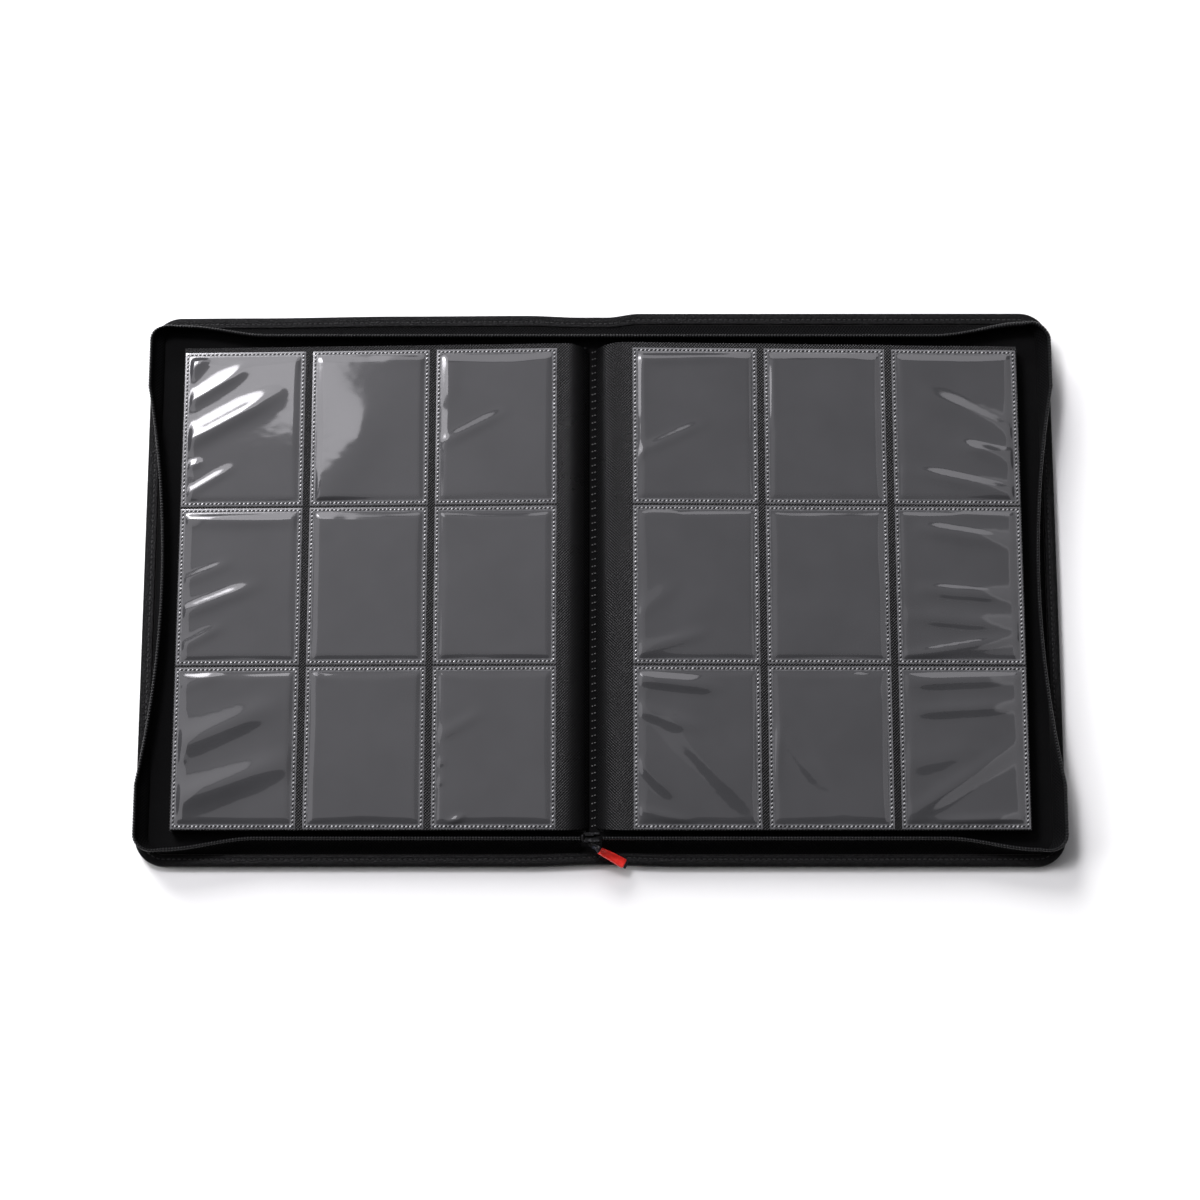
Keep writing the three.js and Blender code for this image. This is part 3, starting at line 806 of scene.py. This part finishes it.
def add_zip_end(side, end, x_near):
    """Tape and coil over half of the spine, at its head (+1) or foot (-1)."""
    name = "top" if end > 0 else "bottom"
    stations = []
    for x in spread(x_near, ZIP_START_X + 0.1, 24):
        y = end * (HALF_HEIGHT - TAPE_INSET)
        stations.append(Station(side.sign * x, y, 0, -end, RUN_LEAN))
    rings = [tape_ring(station, station.x) for station in stations]
    if side.sign * end > 0:
        rings = [ring[::-1] for ring in rings]
    tape = tube(f"{side.cover}_zip_{name}_tape", rings, "zip_tape_cloth")
    line = [(off_edge(station, RUN_LEAN, 0), (0, -end)) for station in stations]
    coil = tube(f"{side.cover}_zip_{name}_coil", coil_rings(line), "zip_nylon")
    for piece, slot in ((tape, "zip_tape"), (coil, "zip_nylon")):
        bend(piece, f"zip_{name}_end")


# A leaf's head edge is askew: its shift up at the inner and at the outer side, in millimetres

FILM_SKEW = {"left": (2.1, -1.4), "right": (2.4, 0.4)}
SHEET_SKEW = {"left": (0.2, -3.2), "right": (1.0, -2.0)}
SKEW_START = 20
SKEW_SPAN = 236


def skewed(side, point, skew):
    x, y, z = point
    inner, outer = skew[side.page]
    share = clamp((abs(x) - SKEW_START) / SKEW_SPAN)
    up = clamp((y + LEAF_HALF) / (2 * LEAF_HALF))
    return (x, y + up * mix(inner, outer, share), z)


# Pockets: each film is welded all round its card's place


def column_span(side, column):
    inner = LEAF_INNER_X + side.margin
    pitch = (LEAF_OUTER_X - FILM_RIM - inner) / 3
    x0 = inner + column * pitch + (COLUMN_GAP / 2 if column > 0 else 0)
    x1 = inner + (column + 1) * pitch - (COLUMN_GAP / 2 if column < 2 else 0)
    return (x0, x1) if side.sign > 0 else (-x1, -x0)


def row_span(row):
    low = FILM_RIM - LEAF_HALF
    height = (2 * LEAF_HALF - 2 * FILM_RIM - FILM_HEAD_GAP) / 3
    y0 = low + row * height + (ROW_GAP / 2 if row > 0 else 0)
    y1 = low + (row + 1) * height - (ROW_GAP / 2 if row < 2 else 0)
    return y0, y1


# A fold of the film, from one place in its pocket to another: shares of its width and height
# from the lower left, and then its half width and its height
Fold = namedtuple("Fold", "u0 v0 u1 v1 width rise")

LEFT_FOLDS = {
    (2, 2): [
        (0, 0.4, 0.8, 0.735, 5.6, 1.1), (0.02, 0.66, 0.52, 0.9, 3.8, 0.6),
        (0.02, 0.24, 0.16, 0.29, 2.4, 0.36), (0.02, 0.06, 0.42, 0.25, 2.8, 0.31),
        (0.35, 0, 0.95, 0.03, 3, 0.3), (0, 0.84, 0.2, 1.02, 4.4, 0.62),
    ],
    (1, 2): [(0.02, -0.05, 0.62, 0.68, 16, 0.55), (0.55, 0.99, 1, 0.93, 4, 0.25)],
    (0, 2): [(0.08, 0.4, 0.6, 0.6, 3.6, 0.34), (0.1, 0.66, 0.13, 1, 6, 0.2)],
    (2, 1): [
        (0.02, 0.32, 0.66, 0.51, 4.4, 0.56), (0.02, 0.52, 0.45, 0.66, 3.6, 0.28),
        (0.02, 0.1, 0.38, 0.25, 3.4, 0.36), (0.05, 0.93, 0.97, 0.93, 5, 0.5),
    ],
    (1, 1): [(0.05, 0.8, 0.25, 1, 6, 0.08)],
    (0, 1): [(0.5, 0.05, 0.95, 0.1, 5, 0.1)],
    (2, 0): [
        (0, 0.5, 0.9, 0.79, 8, 0.8), (0.03, 0.17, 1, 0.44, 8, 0.95),
        (0.02, 0.86, 0.42, 0.98, 4, 0.22), (0, 0.4, 0.12, 0.44, 2.6, 0.22),
    ],
    (1, 0): [(0.02, 0.98, 0.15, 0.9, 2, 0.14), (0.9, 0.02, 0.98, 0.02, 1.6, 0.3)],
    (0, 0): [
        (0.04, -0.02, 0.27, 0.08, 2, 0.8), (0.04, 0.56, 0.42, 0.72, 4, 0.3),
        (0.03, 0.4, 0.12, 0.41, 2.2, 0.22), (0.03, 0.27, 0.1, 0.3, 2, 0.22),
    ],
}
RIGHT_FOLDS = {
    (0, 2): [
        (0.1, 0.34, 0.6, 0.52, 3.6, 0.3), (0.02, 0.24, 0.1, 0.36, 1.8, 0.2),
        (0.06, 0.55, 0.07, 1, 3.2, 0.12), (0.1, 0.93, 0.9, 0.97, 4, 0.48),
    ],
    (1, 2): [(0.06, 0.5, 0.07, 0.98, 2.6, 0.22), (0.1, 0.97, 0.95, 0.97, 3, 0.28)],
    (2, 2): [
        (0.98, 0.44, 0.25, 0.72, 6.6, 0.5), (0.98, 0.26, 0.5, 0.4, 4.5, 0.54),
        (0.98, 0.07, 0.1, 0.22, 4.5, 0.58), (0.98, 0.34, 0.6, 0.36, 2.5, 0.28),
    ],
    (0, 1): [
        (0.02, 0.07, 0.6, 0.2, 4, 0.48), (0.03, 0.3, 0.35, 0.5, 5, 0.28),
        (0.1, 0.97, 0.35, 0.96, 1.8, 0.28),
    ],
    (1, 1): [(0.4, 0.6, 0.9, 0.7, 12, 0.17)],
    (2, 1): [
        (0.2, 0.86, 0.98, 0.76, 5, 0.67), (0.2, 0.47, 0.98, 0.42, 4.5, 0.67),
        (0.1, 0.3, 0.98, 0.24, 5, 0.64), (0.08, 0.05, 0.98, 0.17, 3.5, 0.67),
        (0.5, 0.97, 0.98, 0.94, 2, 0.31),
    ],
    (0, 0): [
        (0.03, 0.92, 0.7, 0.86, 4, 0.67), (0.03, 0.74, 0.55, 0.6, 4.5, 0.64),
        (0.03, 0.42, 0.3, 0.2, 3.5, 0.58), (0.3, 0.65, 0.95, 0.1, 7, 0.67),
        (0.03, 0.12, 0.5, 0.02, 3, 0.45),
    ],
    (1, 0): [
        (0.1, 0.6, 0.42, 0.25, 4, 0.42), (0.3, 0.62, 0.6, 0.1, 5, 0.31),
        (0.04, 0.25, 0.1, 0.7, 2.6, 0.34), (0.7, 0.95, 1, 0.75, 5, 0.28),
    ],
    (2, 0): [
        (0.1, 0.9, 0.98, 0.93, 4.5, 0.58), (0.15, 0.72, 0.98, 0.76, 4, 0.58),
        (0.1, 0.1, 0.98, 0.55, 5.5, 0.68), (0.05, 0.4, 0.7, 0.5, 8, 0.48),
        (0.3, 0.03, 0.98, 0.07, 3, 0.67),
    ],
}
FOLDS = {"left": LEFT_FOLDS, "right": RIGHT_FOLDS}
PLAIN_FOLDS = [Fold(0.05, 0.2, 0.9, 0.35, 7.0, 0.12)]


def fold_height(fold, x, y, width, height):
    """A rounded ridge that fades out at both of its ends."""
    start = Vector((fold.u0 * width, fold.v0 * height))
    run = Vector((fold.u1 * width, fold.v1 * height)) - start
    place = Vector((x, y)) - start
    along = place.dot(run) / run.length_squared
    aside = (place - run * clamp(along)).length
    fade = smooth((along + 0.25) / 0.5) * smooth((1.15 - along) / 0.55)
    return fold.rise * fade * math.exp(-((aside / fold.width) ** 2))


def bow(share):
    return (4 * share * (1 - share)) ** 0.6 if 0 < share < 1 else 0.0


def climb(distance, least, more, share, vary):
    """The rise from one side's weld: steep near the corners and gentler at the middle."""
    return smooth((distance - WELD_BORDER) / (least + more * bow(share) * vary))


def rim_rise(x, y, width, height, seed):
    """0 at the weld and 1 where the film has risen clear of it. The rim at the head is the widest."""
    vary = 0.8 + 0.6 * waver(x / 40, y / 40, seed + 9)
    left = climb(x, 2.2, 2.6, y / height, vary)
    right = climb(width - x, 1.6, 2.6, y / height, vary)
    foot = climb(y, 1.6, 2.6, x / width, vary)
    head = climb(height - y, 1.6, 4.4, x / width, vary)
    return left * right * foot * head


def film_height(x, y, width, height, folds, seed):
    """How far the film stands above its weld: it rises from the border and is folded there."""
    inside = min(x, width - x, y, height - y)
    if inside < 0.5:
        return 0.02
    if inside < WELD_BORDER:
        return WELD_LIFT
    rise = rim_rise(x, y, width, height, seed)
    slack = 0.05 * waver(x / 26, y / 34, seed)
    fine = 0.009 * waver(x / 5.5, y / 2.6, seed + 4)
    folded = sum(fold_height(fold, x, y, width, height) for fold in folds)
    return WELD_LIFT + rise * (FILM_RISE + slack + fine) + smooth((inside - 2.6) / 2.2) * folded


def pocket_lines(length, spacing):
    """Lines across a pocket, with close ones over the welded border."""
    border = [0.0, WELD_OUTER, WELD_INNER, WELD_BORDER, 3.6, 4.6]
    edge = border[-1]
    count = round((length - 2 * edge) / spacing)
    inside = [edge + (length - 2 * edge) * step / count for step in range(1, count)]
    return border + inside + [length - value for value in reversed(border)]


FILM_LOOKS = ["pocket_film", "film_rim_painted_highlight", "weld_groove", "weld_mark"]
FILM, RIM, GROOVE, MARK = range(4)


def border_slot(inside):
    if WELD_OUTER <= inside < WELD_INNER:
        return GROOVE
    return RIM if inside < WELD_BORDER else FILM


def add_pocket(pieces, side, column, row, base, up, folds, seed, spacing):
    """One pocket's film and welds. up is 1 on a leaf's front and -1 on its back."""
    x0, x1 = column_span(side, column)
    y0, y1 = row_span(row)
    width, height = x1 - x0, y1 - y0
    columns, rows = pocket_lines(width, spacing), pocket_lines(height, spacing)
    points, places, slots = [], [], []
    for y in rows:
        for x in columns:
            z = base + up * film_height(x, y, width, height, folds, seed)
            points.append((x0 + x, y0 + y, z))
            places.append((x0 + x, y0 + y))
    for low_y, high_y in zip(rows, rows[1:]):
        for low_x, high_x in zip(columns, columns[1:]):
            x, y = (low_x + high_x) / 2, (low_y + high_y) / 2
            slots.append(border_slot(min(x, width - x, y, height - y)))
    faces = net(len(rows), len(columns))
    if up < 0:
        faces = [face[::-1] for face in faces]
    pieces.add(points, faces, places, slots)
    add_weld_marks(pieces, (x0, x1, y0, y1), base + up * WELD_LIFT, up)


def add_weld_marks(pieces, box, z, up):
    """The slanted marks of the weld, all round one pocket."""
    inset = 1.5
    length, width, slant = 0.5, 0.5, 0.3
    corner_rise, middle_rise = 0.03, 0.22
    x0, x1, y0, y1 = box
    left, right, foot, head = x0 + inset, x1 - inset, y0 + inset, y1 - inset
    flat = [(-length - slant, -width), (length - slant, -width), (length + slant, width)]
    flat += [(slant - length, width), (0, 0)]
    runs = [(False, y, left, right) for y in (foot, head)]
    runs += [(True, x, foot, head) for x in (left, right)]
    for upright, fixed, low, high in runs:
        count = round((high - low) / WELD_PITCH)
        for step in range(count):
            middle = mix(low, high, (step + 0.5) / count)
            points, places = [], []
            for index, (along, across) in enumerate(flat):
                rise = corner_rise if index < 4 else middle_rise
                spot = (fixed + across, middle + along) if upright else (middle + along, fixed + across)
                points.append((*spot, z + up * rise))
                places.append(spot)
            faces = [(0, 1, 4), (1, 2, 4), (2, 3, 4), (3, 0, 4)]
            if upright != (up < 0):
                faces = [face[::-1] for face in faces]
            pieces.add(points, faces, places, [MARK] * 4)


def add_front_films(side):
    for column in range(3):
        pieces = Pieces()
        for row in range(3):
            folds = [Fold(*fold) for fold in FOLDS[side.page][column, row]]
            seed = 3.7 * column + 1.9 * row + 11 * side.sign
            add_pocket(pieces, side, column, row, TOP_FILM, 1, folds, seed, 1.4)
        pieces.skew(side, FILM_SKEW)
        film = pieces.build(f"{side.page}_column_{column + 1}_film", FILM_LOOKS)
        fix(film, f"{side.page}_top_leaf", f"{side.page}_pocket_strip_{column + 1}")


def add_page_films(name, side, base, up, body):
    """All nine pockets on one face of a leaf."""
    pieces = Pieces()
    for column in range(3):
        for row in range(3):
            seed = 5.3 * column + 2.3 * row + base
            add_pocket(pieces, side, column, row, base, up, PLAIN_FOLDS, seed, 5.0)
    pieces.skew(side, FILM_SKEW)
    fix(pieces.build(name, FILM_LOOKS), body)


# Leaves: woven sheets that bend down together into the gutter


def leaf_foot(side, index):
    """Where a leaf meets the spine: the top one nearest the fold."""
    return side.foot + ROOT_STEP * (LEAVES - 1 - index)


def leaf_height(side, index, x, flat):
    """Height of a leaf above a place between its foot and where it lies flat."""
    foot = leaf_foot(side, index)
    t = clamp((x - foot) / (side.bend - foot))
    rise = 1 - (1 - t) ** 3
    return mix(GUTTER_TOP + ROOT_LIFT + ROOT_PITCH * index, flat, rise)


def leaf_rings(side, index, z, thickness, rows=LEAF_ROWS):
    """Rings across a leaf from its foot edge to its head. It narrows where it bends down."""
    columns = spread(LEAF_INNER_X, side.bend, 12) + spread(side.bend, LEAF_OUTER_X, 22)[1:]
    rings = []
    for share in spread(-1, 1, rows):
        upper, lower = [], []
        for x in columns:
            drop = leaf_height(side, index, x, z) - z
            half = LEAF_HALF + ROOT_DRAW * drop
            wave = 0.04 * waver(x / 60, share * 3, z)
            upper.append(turned(side, (x, share * half, z + drop + thickness + wave)))
            lower.append(turned(side, (x, share * half, z + drop + wave)))
        rings.append([skewed(side, point, SHEET_SKEW) for point in lower + upper[::-1]])
    return rings


def add_top_leaf(side):
    leaf = f"{side.page}_top_leaf"
    rings = leaf_rings(side, LEAVES - 1, TOP_BACKING, 0.39)
    sheet = tube(f"{side.page}_top_sheet", rings, "woven_backing", flat=True)
    bend(sheet, f"{side.page}_leaf_1")
    add_page_films(f"{side.page}_top_reverse_film", side, TOP_BACKING, -1, leaf)


def add_under_leaf(side):
    """The second leaf, seen when the top one is turned."""
    index = LEAVES - 2
    z = LEAF_BOTTOM + index * LEAF_PITCH
    rings = leaf_rings(side, index, z + 0.05, 0.2)
    sheet = tube(f"{side.page}_under_sheet", rings, "woven_backing", flat=True)
    fix(sheet, side.pages, f"{side.page}_leaf_2")
    add_page_films(f"{side.page}_under_film", side, z + 0.25, 1, side.pages)


def add_film_strip(pieces, side, column, low, high):
    """A column of pockets on a leaf that is under others, with softly rounded edges."""
    x0, x1 = column_span(side, column)
    y0, y1 = row_span(0)[0], row_span(2)[1]
    soft = (high - low) * 0.35
    section = [
        (x0, low + soft), (x0 + soft, low), (x1 - soft, low), (x1, low + soft),
        (x1, high - soft), (x1 - soft, high), (x0 + soft, high), (x0, high - soft),
    ]
    rings = []
    for y in spread(y0, y1, 20):
        wave = 0.03 * waver(x0 / 50, y / 40, low)
        rings.append([(x, y, z + wave) for x, z in section])
    pieces.add_tube(rings, flat=True)


def add_lower_leaves(side):
    """Leaves 3 to 10: woven sheets with a film strip on both faces of each column."""
    films = Pieces()
    for index in range(LEAVES - 2):
        z = LEAF_BOTTOM + index * LEAF_PITCH
        number = LEAVES - index
        rings = leaf_rings(side, index, z + SHEET_LIFT, 0.3, rows=20)
        sheet = tube(f"{side.page}_sheet_{number}", rings, "woven_backing", flat=True)
        fix(sheet, side.pages, f"{side.page}_leaf_{number}")
        for column in range(3):
            for low, high in FILM_LAYERS:
                add_film_strip(films, side, column, z + low, z + high)
    films.skew(side, SHEET_SKEW)
    fix(films.build(f"{side.page}_lower_films", ["pocket_film"]), side.pages)


def add_roots(side):
    """The inner edges of all ten leaves, down to the strip on the spine."""
    pieces = Pieces()
    for index in range(LEAVES):
        flat = TOP_BACKING if index == LEAVES - 1 else LEAF_BOTTOM + index * LEAF_PITCH + 0.1
        foot = leaf_foot(side, index)
        rings = []
        for share in spread(-1, 1, LEAF_ROWS):
            upper, lower = [], []
            for t in spread(0, 1, 12):
                x = mix(foot, LEAF_INNER_X + 0.1, t ** 1.5)
                z = leaf_height(side, index, x, flat)
                half = LEAF_HALF + ROOT_DRAW * (z - flat)
                ripple = 0.15 * waver(share * 11, index, side.sign) * (1 - t)
                upper.append(turned(side, (x + ripple, share * half, z + 0.34)))
                lower.append(turned(side, (x + ripple + 0.1, share * half, z)))
            rings.append([skewed(side, point, SHEET_SKEW) for point in lower + upper[::-1]])
        pieces.add_tube(rings, flat=True)
    roots = pieces.build(f"{side.page}_root_sheets", ["woven_backing"])
    bend(roots, f"{side.page}_leaf_roots")


def add_gutter():
    """The strip that is sewn down the middle of the spine, and its stitches in pairs."""
    half = 6.5
    reach = LEAF_HALF
    rings = []
    for step, y in enumerate(spread(-reach, reach, 100)):
        dip = 0.1 * math.cos(2 * math.pi * step / 5)
        rings.append([
            (half, y, 4.72), (half - 0.3, y, 5.18), (1.2, y, 5.26), (-3.0, y, 5.15 + dip),
            (-5.0, y, 5.24), (0.3 - half, y, 5.18), (-half, y, 4.72),
        ])
    strip = tube("gutter_tape", rings, "lining_cloth")
    fix(strip, "spine", "gutter_strip")
    first_y, last_y, stitch_z = -147, 147.5, 5.5
    seats = []
    for y in spread(first_y, last_y, 65):
        seats.append(Seat(-4.9, y, stitch_z, 0.97, 0.25))
        seats.append(Seat(-3.3, y + 0.45, stitch_z, 0.97, 0.25))
    add_stitches("gutter_stitches", seats, "spine", "gutter_thread", 0.38, 1.0)


# Pull: a strap from the slider's link, with a rubber tab on it

TAB_START = Vector((-0.5, -163.5, 14.6))
TAB_END = Vector((14.0, -170.6, 7.0))
LINK_EYE = Vector((-1.1, -161.0, 16.7))
TAB_QUARTER = [(1.0, 0.6), (0.86, 1.0), (0.66, 1.0), (0.55, 0.8)]
STRAP_QUARTER = [(1, 0.6), (0.9, 1)]


def four_ways(quarter):
    """A whole section from its upper right quarter."""
    other = quarter[::-1]
    lower = [(-across, -up) for across, up in quarter] + [(across, -up) for across, up in other]
    return lower + quarter + [(-across, up) for across, up in other]


def add_tab():
    along = (TAB_END - TAB_START).normalized()
    aside = Vector((0, 0, 1)).cross(along).normalized()
    normal = along.cross(aside)
    length = (TAB_END - TAB_START).length
    near_end = [(0.0, 0.82, 0), (0.25, 0.96, 0), (0.5, 1, 0), (0.95, 1, 0), (1.25, 1, 1)]
    far_end = [(length - distance, scale, sunk) for distance, scale, sunk in near_end[::-1]]
    rings = []
    for distance, scale, sunk in near_end + [(length / 2, 1, 1)] + far_end:
        half_width = mix(2.4, 2.95, distance / length) * scale
        half_depth = 1.5 * scale
        middle = TAB_START + along * distance
        ring = []
        for across, up in four_ways(TAB_QUARTER):
            level = up if sunk or abs(up) < 0.7 else math.copysign(1.0, up)
            ring.append(tuple(middle + aside * (across * half_width) + normal * (level * half_depth)))
        rings.append(ring)
    fix(tube("tab_rubber", rings, "red_rubber"), "pull", "pull_tab")
    add_strap(along, aside, normal)


def add_strap(along, aside, normal):
    """The strap: over the link's bar, through the tab, to a short tip."""
    tip = TAB_END + along * 1.9
    near = LINK_EYE + Vector((-3.3, 0.3, 0.85))
    over = LINK_EYE + Vector((-1.2, -0.6, 1.25))
    path = [near, over, TAB_START, TAB_END, tip]
    halves = [1.5, 1.9, 2.2, 2.6, 2.3]
    rings = []
    for point, half in zip(path, halves):
        rings.append([
            tuple(point + aside * across * half + normal * up * 0.55)
            for across, up in four_ways(STRAP_QUARTER)
        ])
    fix(tube("strap_ribbon", rings, "strap_plastic"), "pull", "pull_strap")


# CAD nodes that keep their shape


def dress_nodes():
    for node in ("slider_body", "slider_bridge", "zip_bottom_stop", "pull_link"):
        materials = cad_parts[node].data.materials
        materials.clear()
        materials.append(LOOKS["link_metal" if node == "pull_link" else "slider_lacquer"])


# Floor, light and camera


def add_floor():
    look = Finish("floor_paper", grey(0.93, 0.93), 0.8, specular=0.05, on_cad=True)
    look.color(look.noise(400), grey(0.92, 0.92), grey(0.95, 0.95))
    size = 6000
    places = [(-size, -size), (size, -size), (size, size), (-size, size)]
    corners = [(x, y, -0.1) for x, y in places]
    add_mesh("floor", corners, [(0, 1, 2, 3)], places, ["floor_paper"])


def add_panel(name, x0, x1, y0, y1, height, radiance):
    """A soft light that faces straight down, with its place in metres."""
    data = bpy.data.lights.new(name, "AREA")
    data.shape = "RECTANGLE"
    data.size = x1 - x0
    data.size_y = y1 - y0
    data.energy = math.pi * radiance * (x1 - x0) * (y1 - y0)
    data.color = (0.97, 0.95, 1.0)
    show(name, data).location = ((x0 + x1) / 2, (y0 + y1) / 2, height)


def add_low_light(name, source, strength):
    """A wide, distant light from one side, for the floor's soft shadow. The film doesn't mirror it."""
    data = bpy.data.lights.new(name, "SUN")
    data.energy = strength
    data.angle = math.radians(32)
    light = show(name, data)
    light.rotation_euler = Vector(source).to_track_quat("Z", "Y").to_euler()
    light.visible_glossy = False


def add_lights():
    """Soft boxes and a dim ceiling that the film mirrors, and two low lights for the floor."""
    add_panel("softbox", -1.3, -0.31, 0.55, 1.5, 1.65, 3.2)
    add_panel("softbox_inner", -1.15, -0.5, 0.64, 1.28, 1.645, 2.2)
    add_panel("softbox_glow", -1.06, -0.51, 0.66, 1.12, 1.64, 8.0)
    add_panel("softbox_core", -0.99, -0.57, 0.72, 1.04, 1.635, 20.0)
    add_panel("top_strip", -0.34, 0.6, 0.74, 1.4, 1.65, 1.7)
    add_panel("ceiling_left", -0.53, 0.02, -0.01, 0.7, 1.66, 0.46)
    add_panel("ceiling_right", 0.02, 0.56, -0.01, 0.7, 1.66, 0.3)
    add_panel("left_dim", -1.2, -0.54, -0.15, 0.5, 1.65, 1.1)
    add_panel("right_dim", 0.53, 1.3, -0.3, 0.74, 1.65, 0.7)
    add_low_light("back_low", (-0.42, 0.86, 0.34), 5.6)
    add_low_light("left_low", (-1.0, 0.15, 0.36), 2.2)
    world = scene.world or bpy.data.worlds.new("studio")
    scene.world = world
    world.use_nodes = True
    background = world.node_tree.nodes["Background"]
    background.inputs["Color"].default_value = (1, 1, 1, 1)
    background.inputs["Strength"].default_value = 0.06


def add_camera():
    """The photograph's camera, from the perspective of the covers and the pocket grid."""
    tilt = math.radians(12.0)
    distance = 1.628
    focal_pixels = 2668.0
    frame_pixels = 1200.0
    data = bpy.data.cameras.new("photo_camera")
    data.sensor_width = 36.0
    data.lens = data.sensor_width * focal_pixels / frame_pixels
    data.shift_x = -0.5 / frame_pixels
    data.shift_y = -12.8 / frame_pixels
    data.clip_end = 50.0
    camera = show("photo_camera", data)
    camera.location = (0, -math.sin(tilt) * distance, math.cos(tilt) * distance)
    camera.rotation_euler = (tilt, 0, 0)
    scene.camera = camera
    scene.view_settings.view_transform = "Standard"


def make_looks():
    for make in (
        leatherette, lining_cloth, zip_tape_cloth, woven_backing, pocket_film, film_rim_painted_highlight, weld_groove,
        weld_mark, zip_nylon, red_rubber, strap_plastic,
    ):
        make()
    thread("band_thread", grey(0.004, 0.0045), grey(0.018, 0.019))
    thread("gutter_thread", grey(0.06, 0.06), grey(0.22, 0.22))
    # The light patches on the slider, and the brighter ones on the link, are partly wear and partly
    # painted glints.
    slider_metal("slider_lacquer", grey(0.008, 0.009), grey(0.1, 0.105), 0.85)
    slider_metal("link_metal", grey(0.012, 0.013), grey(0.5, 0.5), 0.8)
    hidden_fill("padding_foam", grey(0.05, 0.052))
    hidden_fill("dark_board", (0.05, 0.047, 0.045))


def dress_binder():
    make_looks()
    dress_nodes()
    cover_parts = (add_cover_skin, add_cover_band, add_cover_stitches, add_crease, add_cover_lining)
    leaf_parts = (add_roots, add_lower_leaves, add_under_leaf, add_top_leaf, add_front_films)
    for side in SIDES:
        for add_part in cover_parts + (add_tape, add_coil):
            add_part(side)
        add_zip_end(side, 1, 0.0)
        add_zip_end(side, -1, 11.6 if side.sign < 0 else 0.8)
        for add_part in leaf_parts:
            add_part(side)
    for sign in (-1, 1):
        add_spine_band(sign)
    add_spine_skin()
    add_layers()
    add_spine_stitches()
    add_spine_lining()
    add_gutter()
    add_tab()


add_camera()
add_lights()
add_floor()
dress_binder()
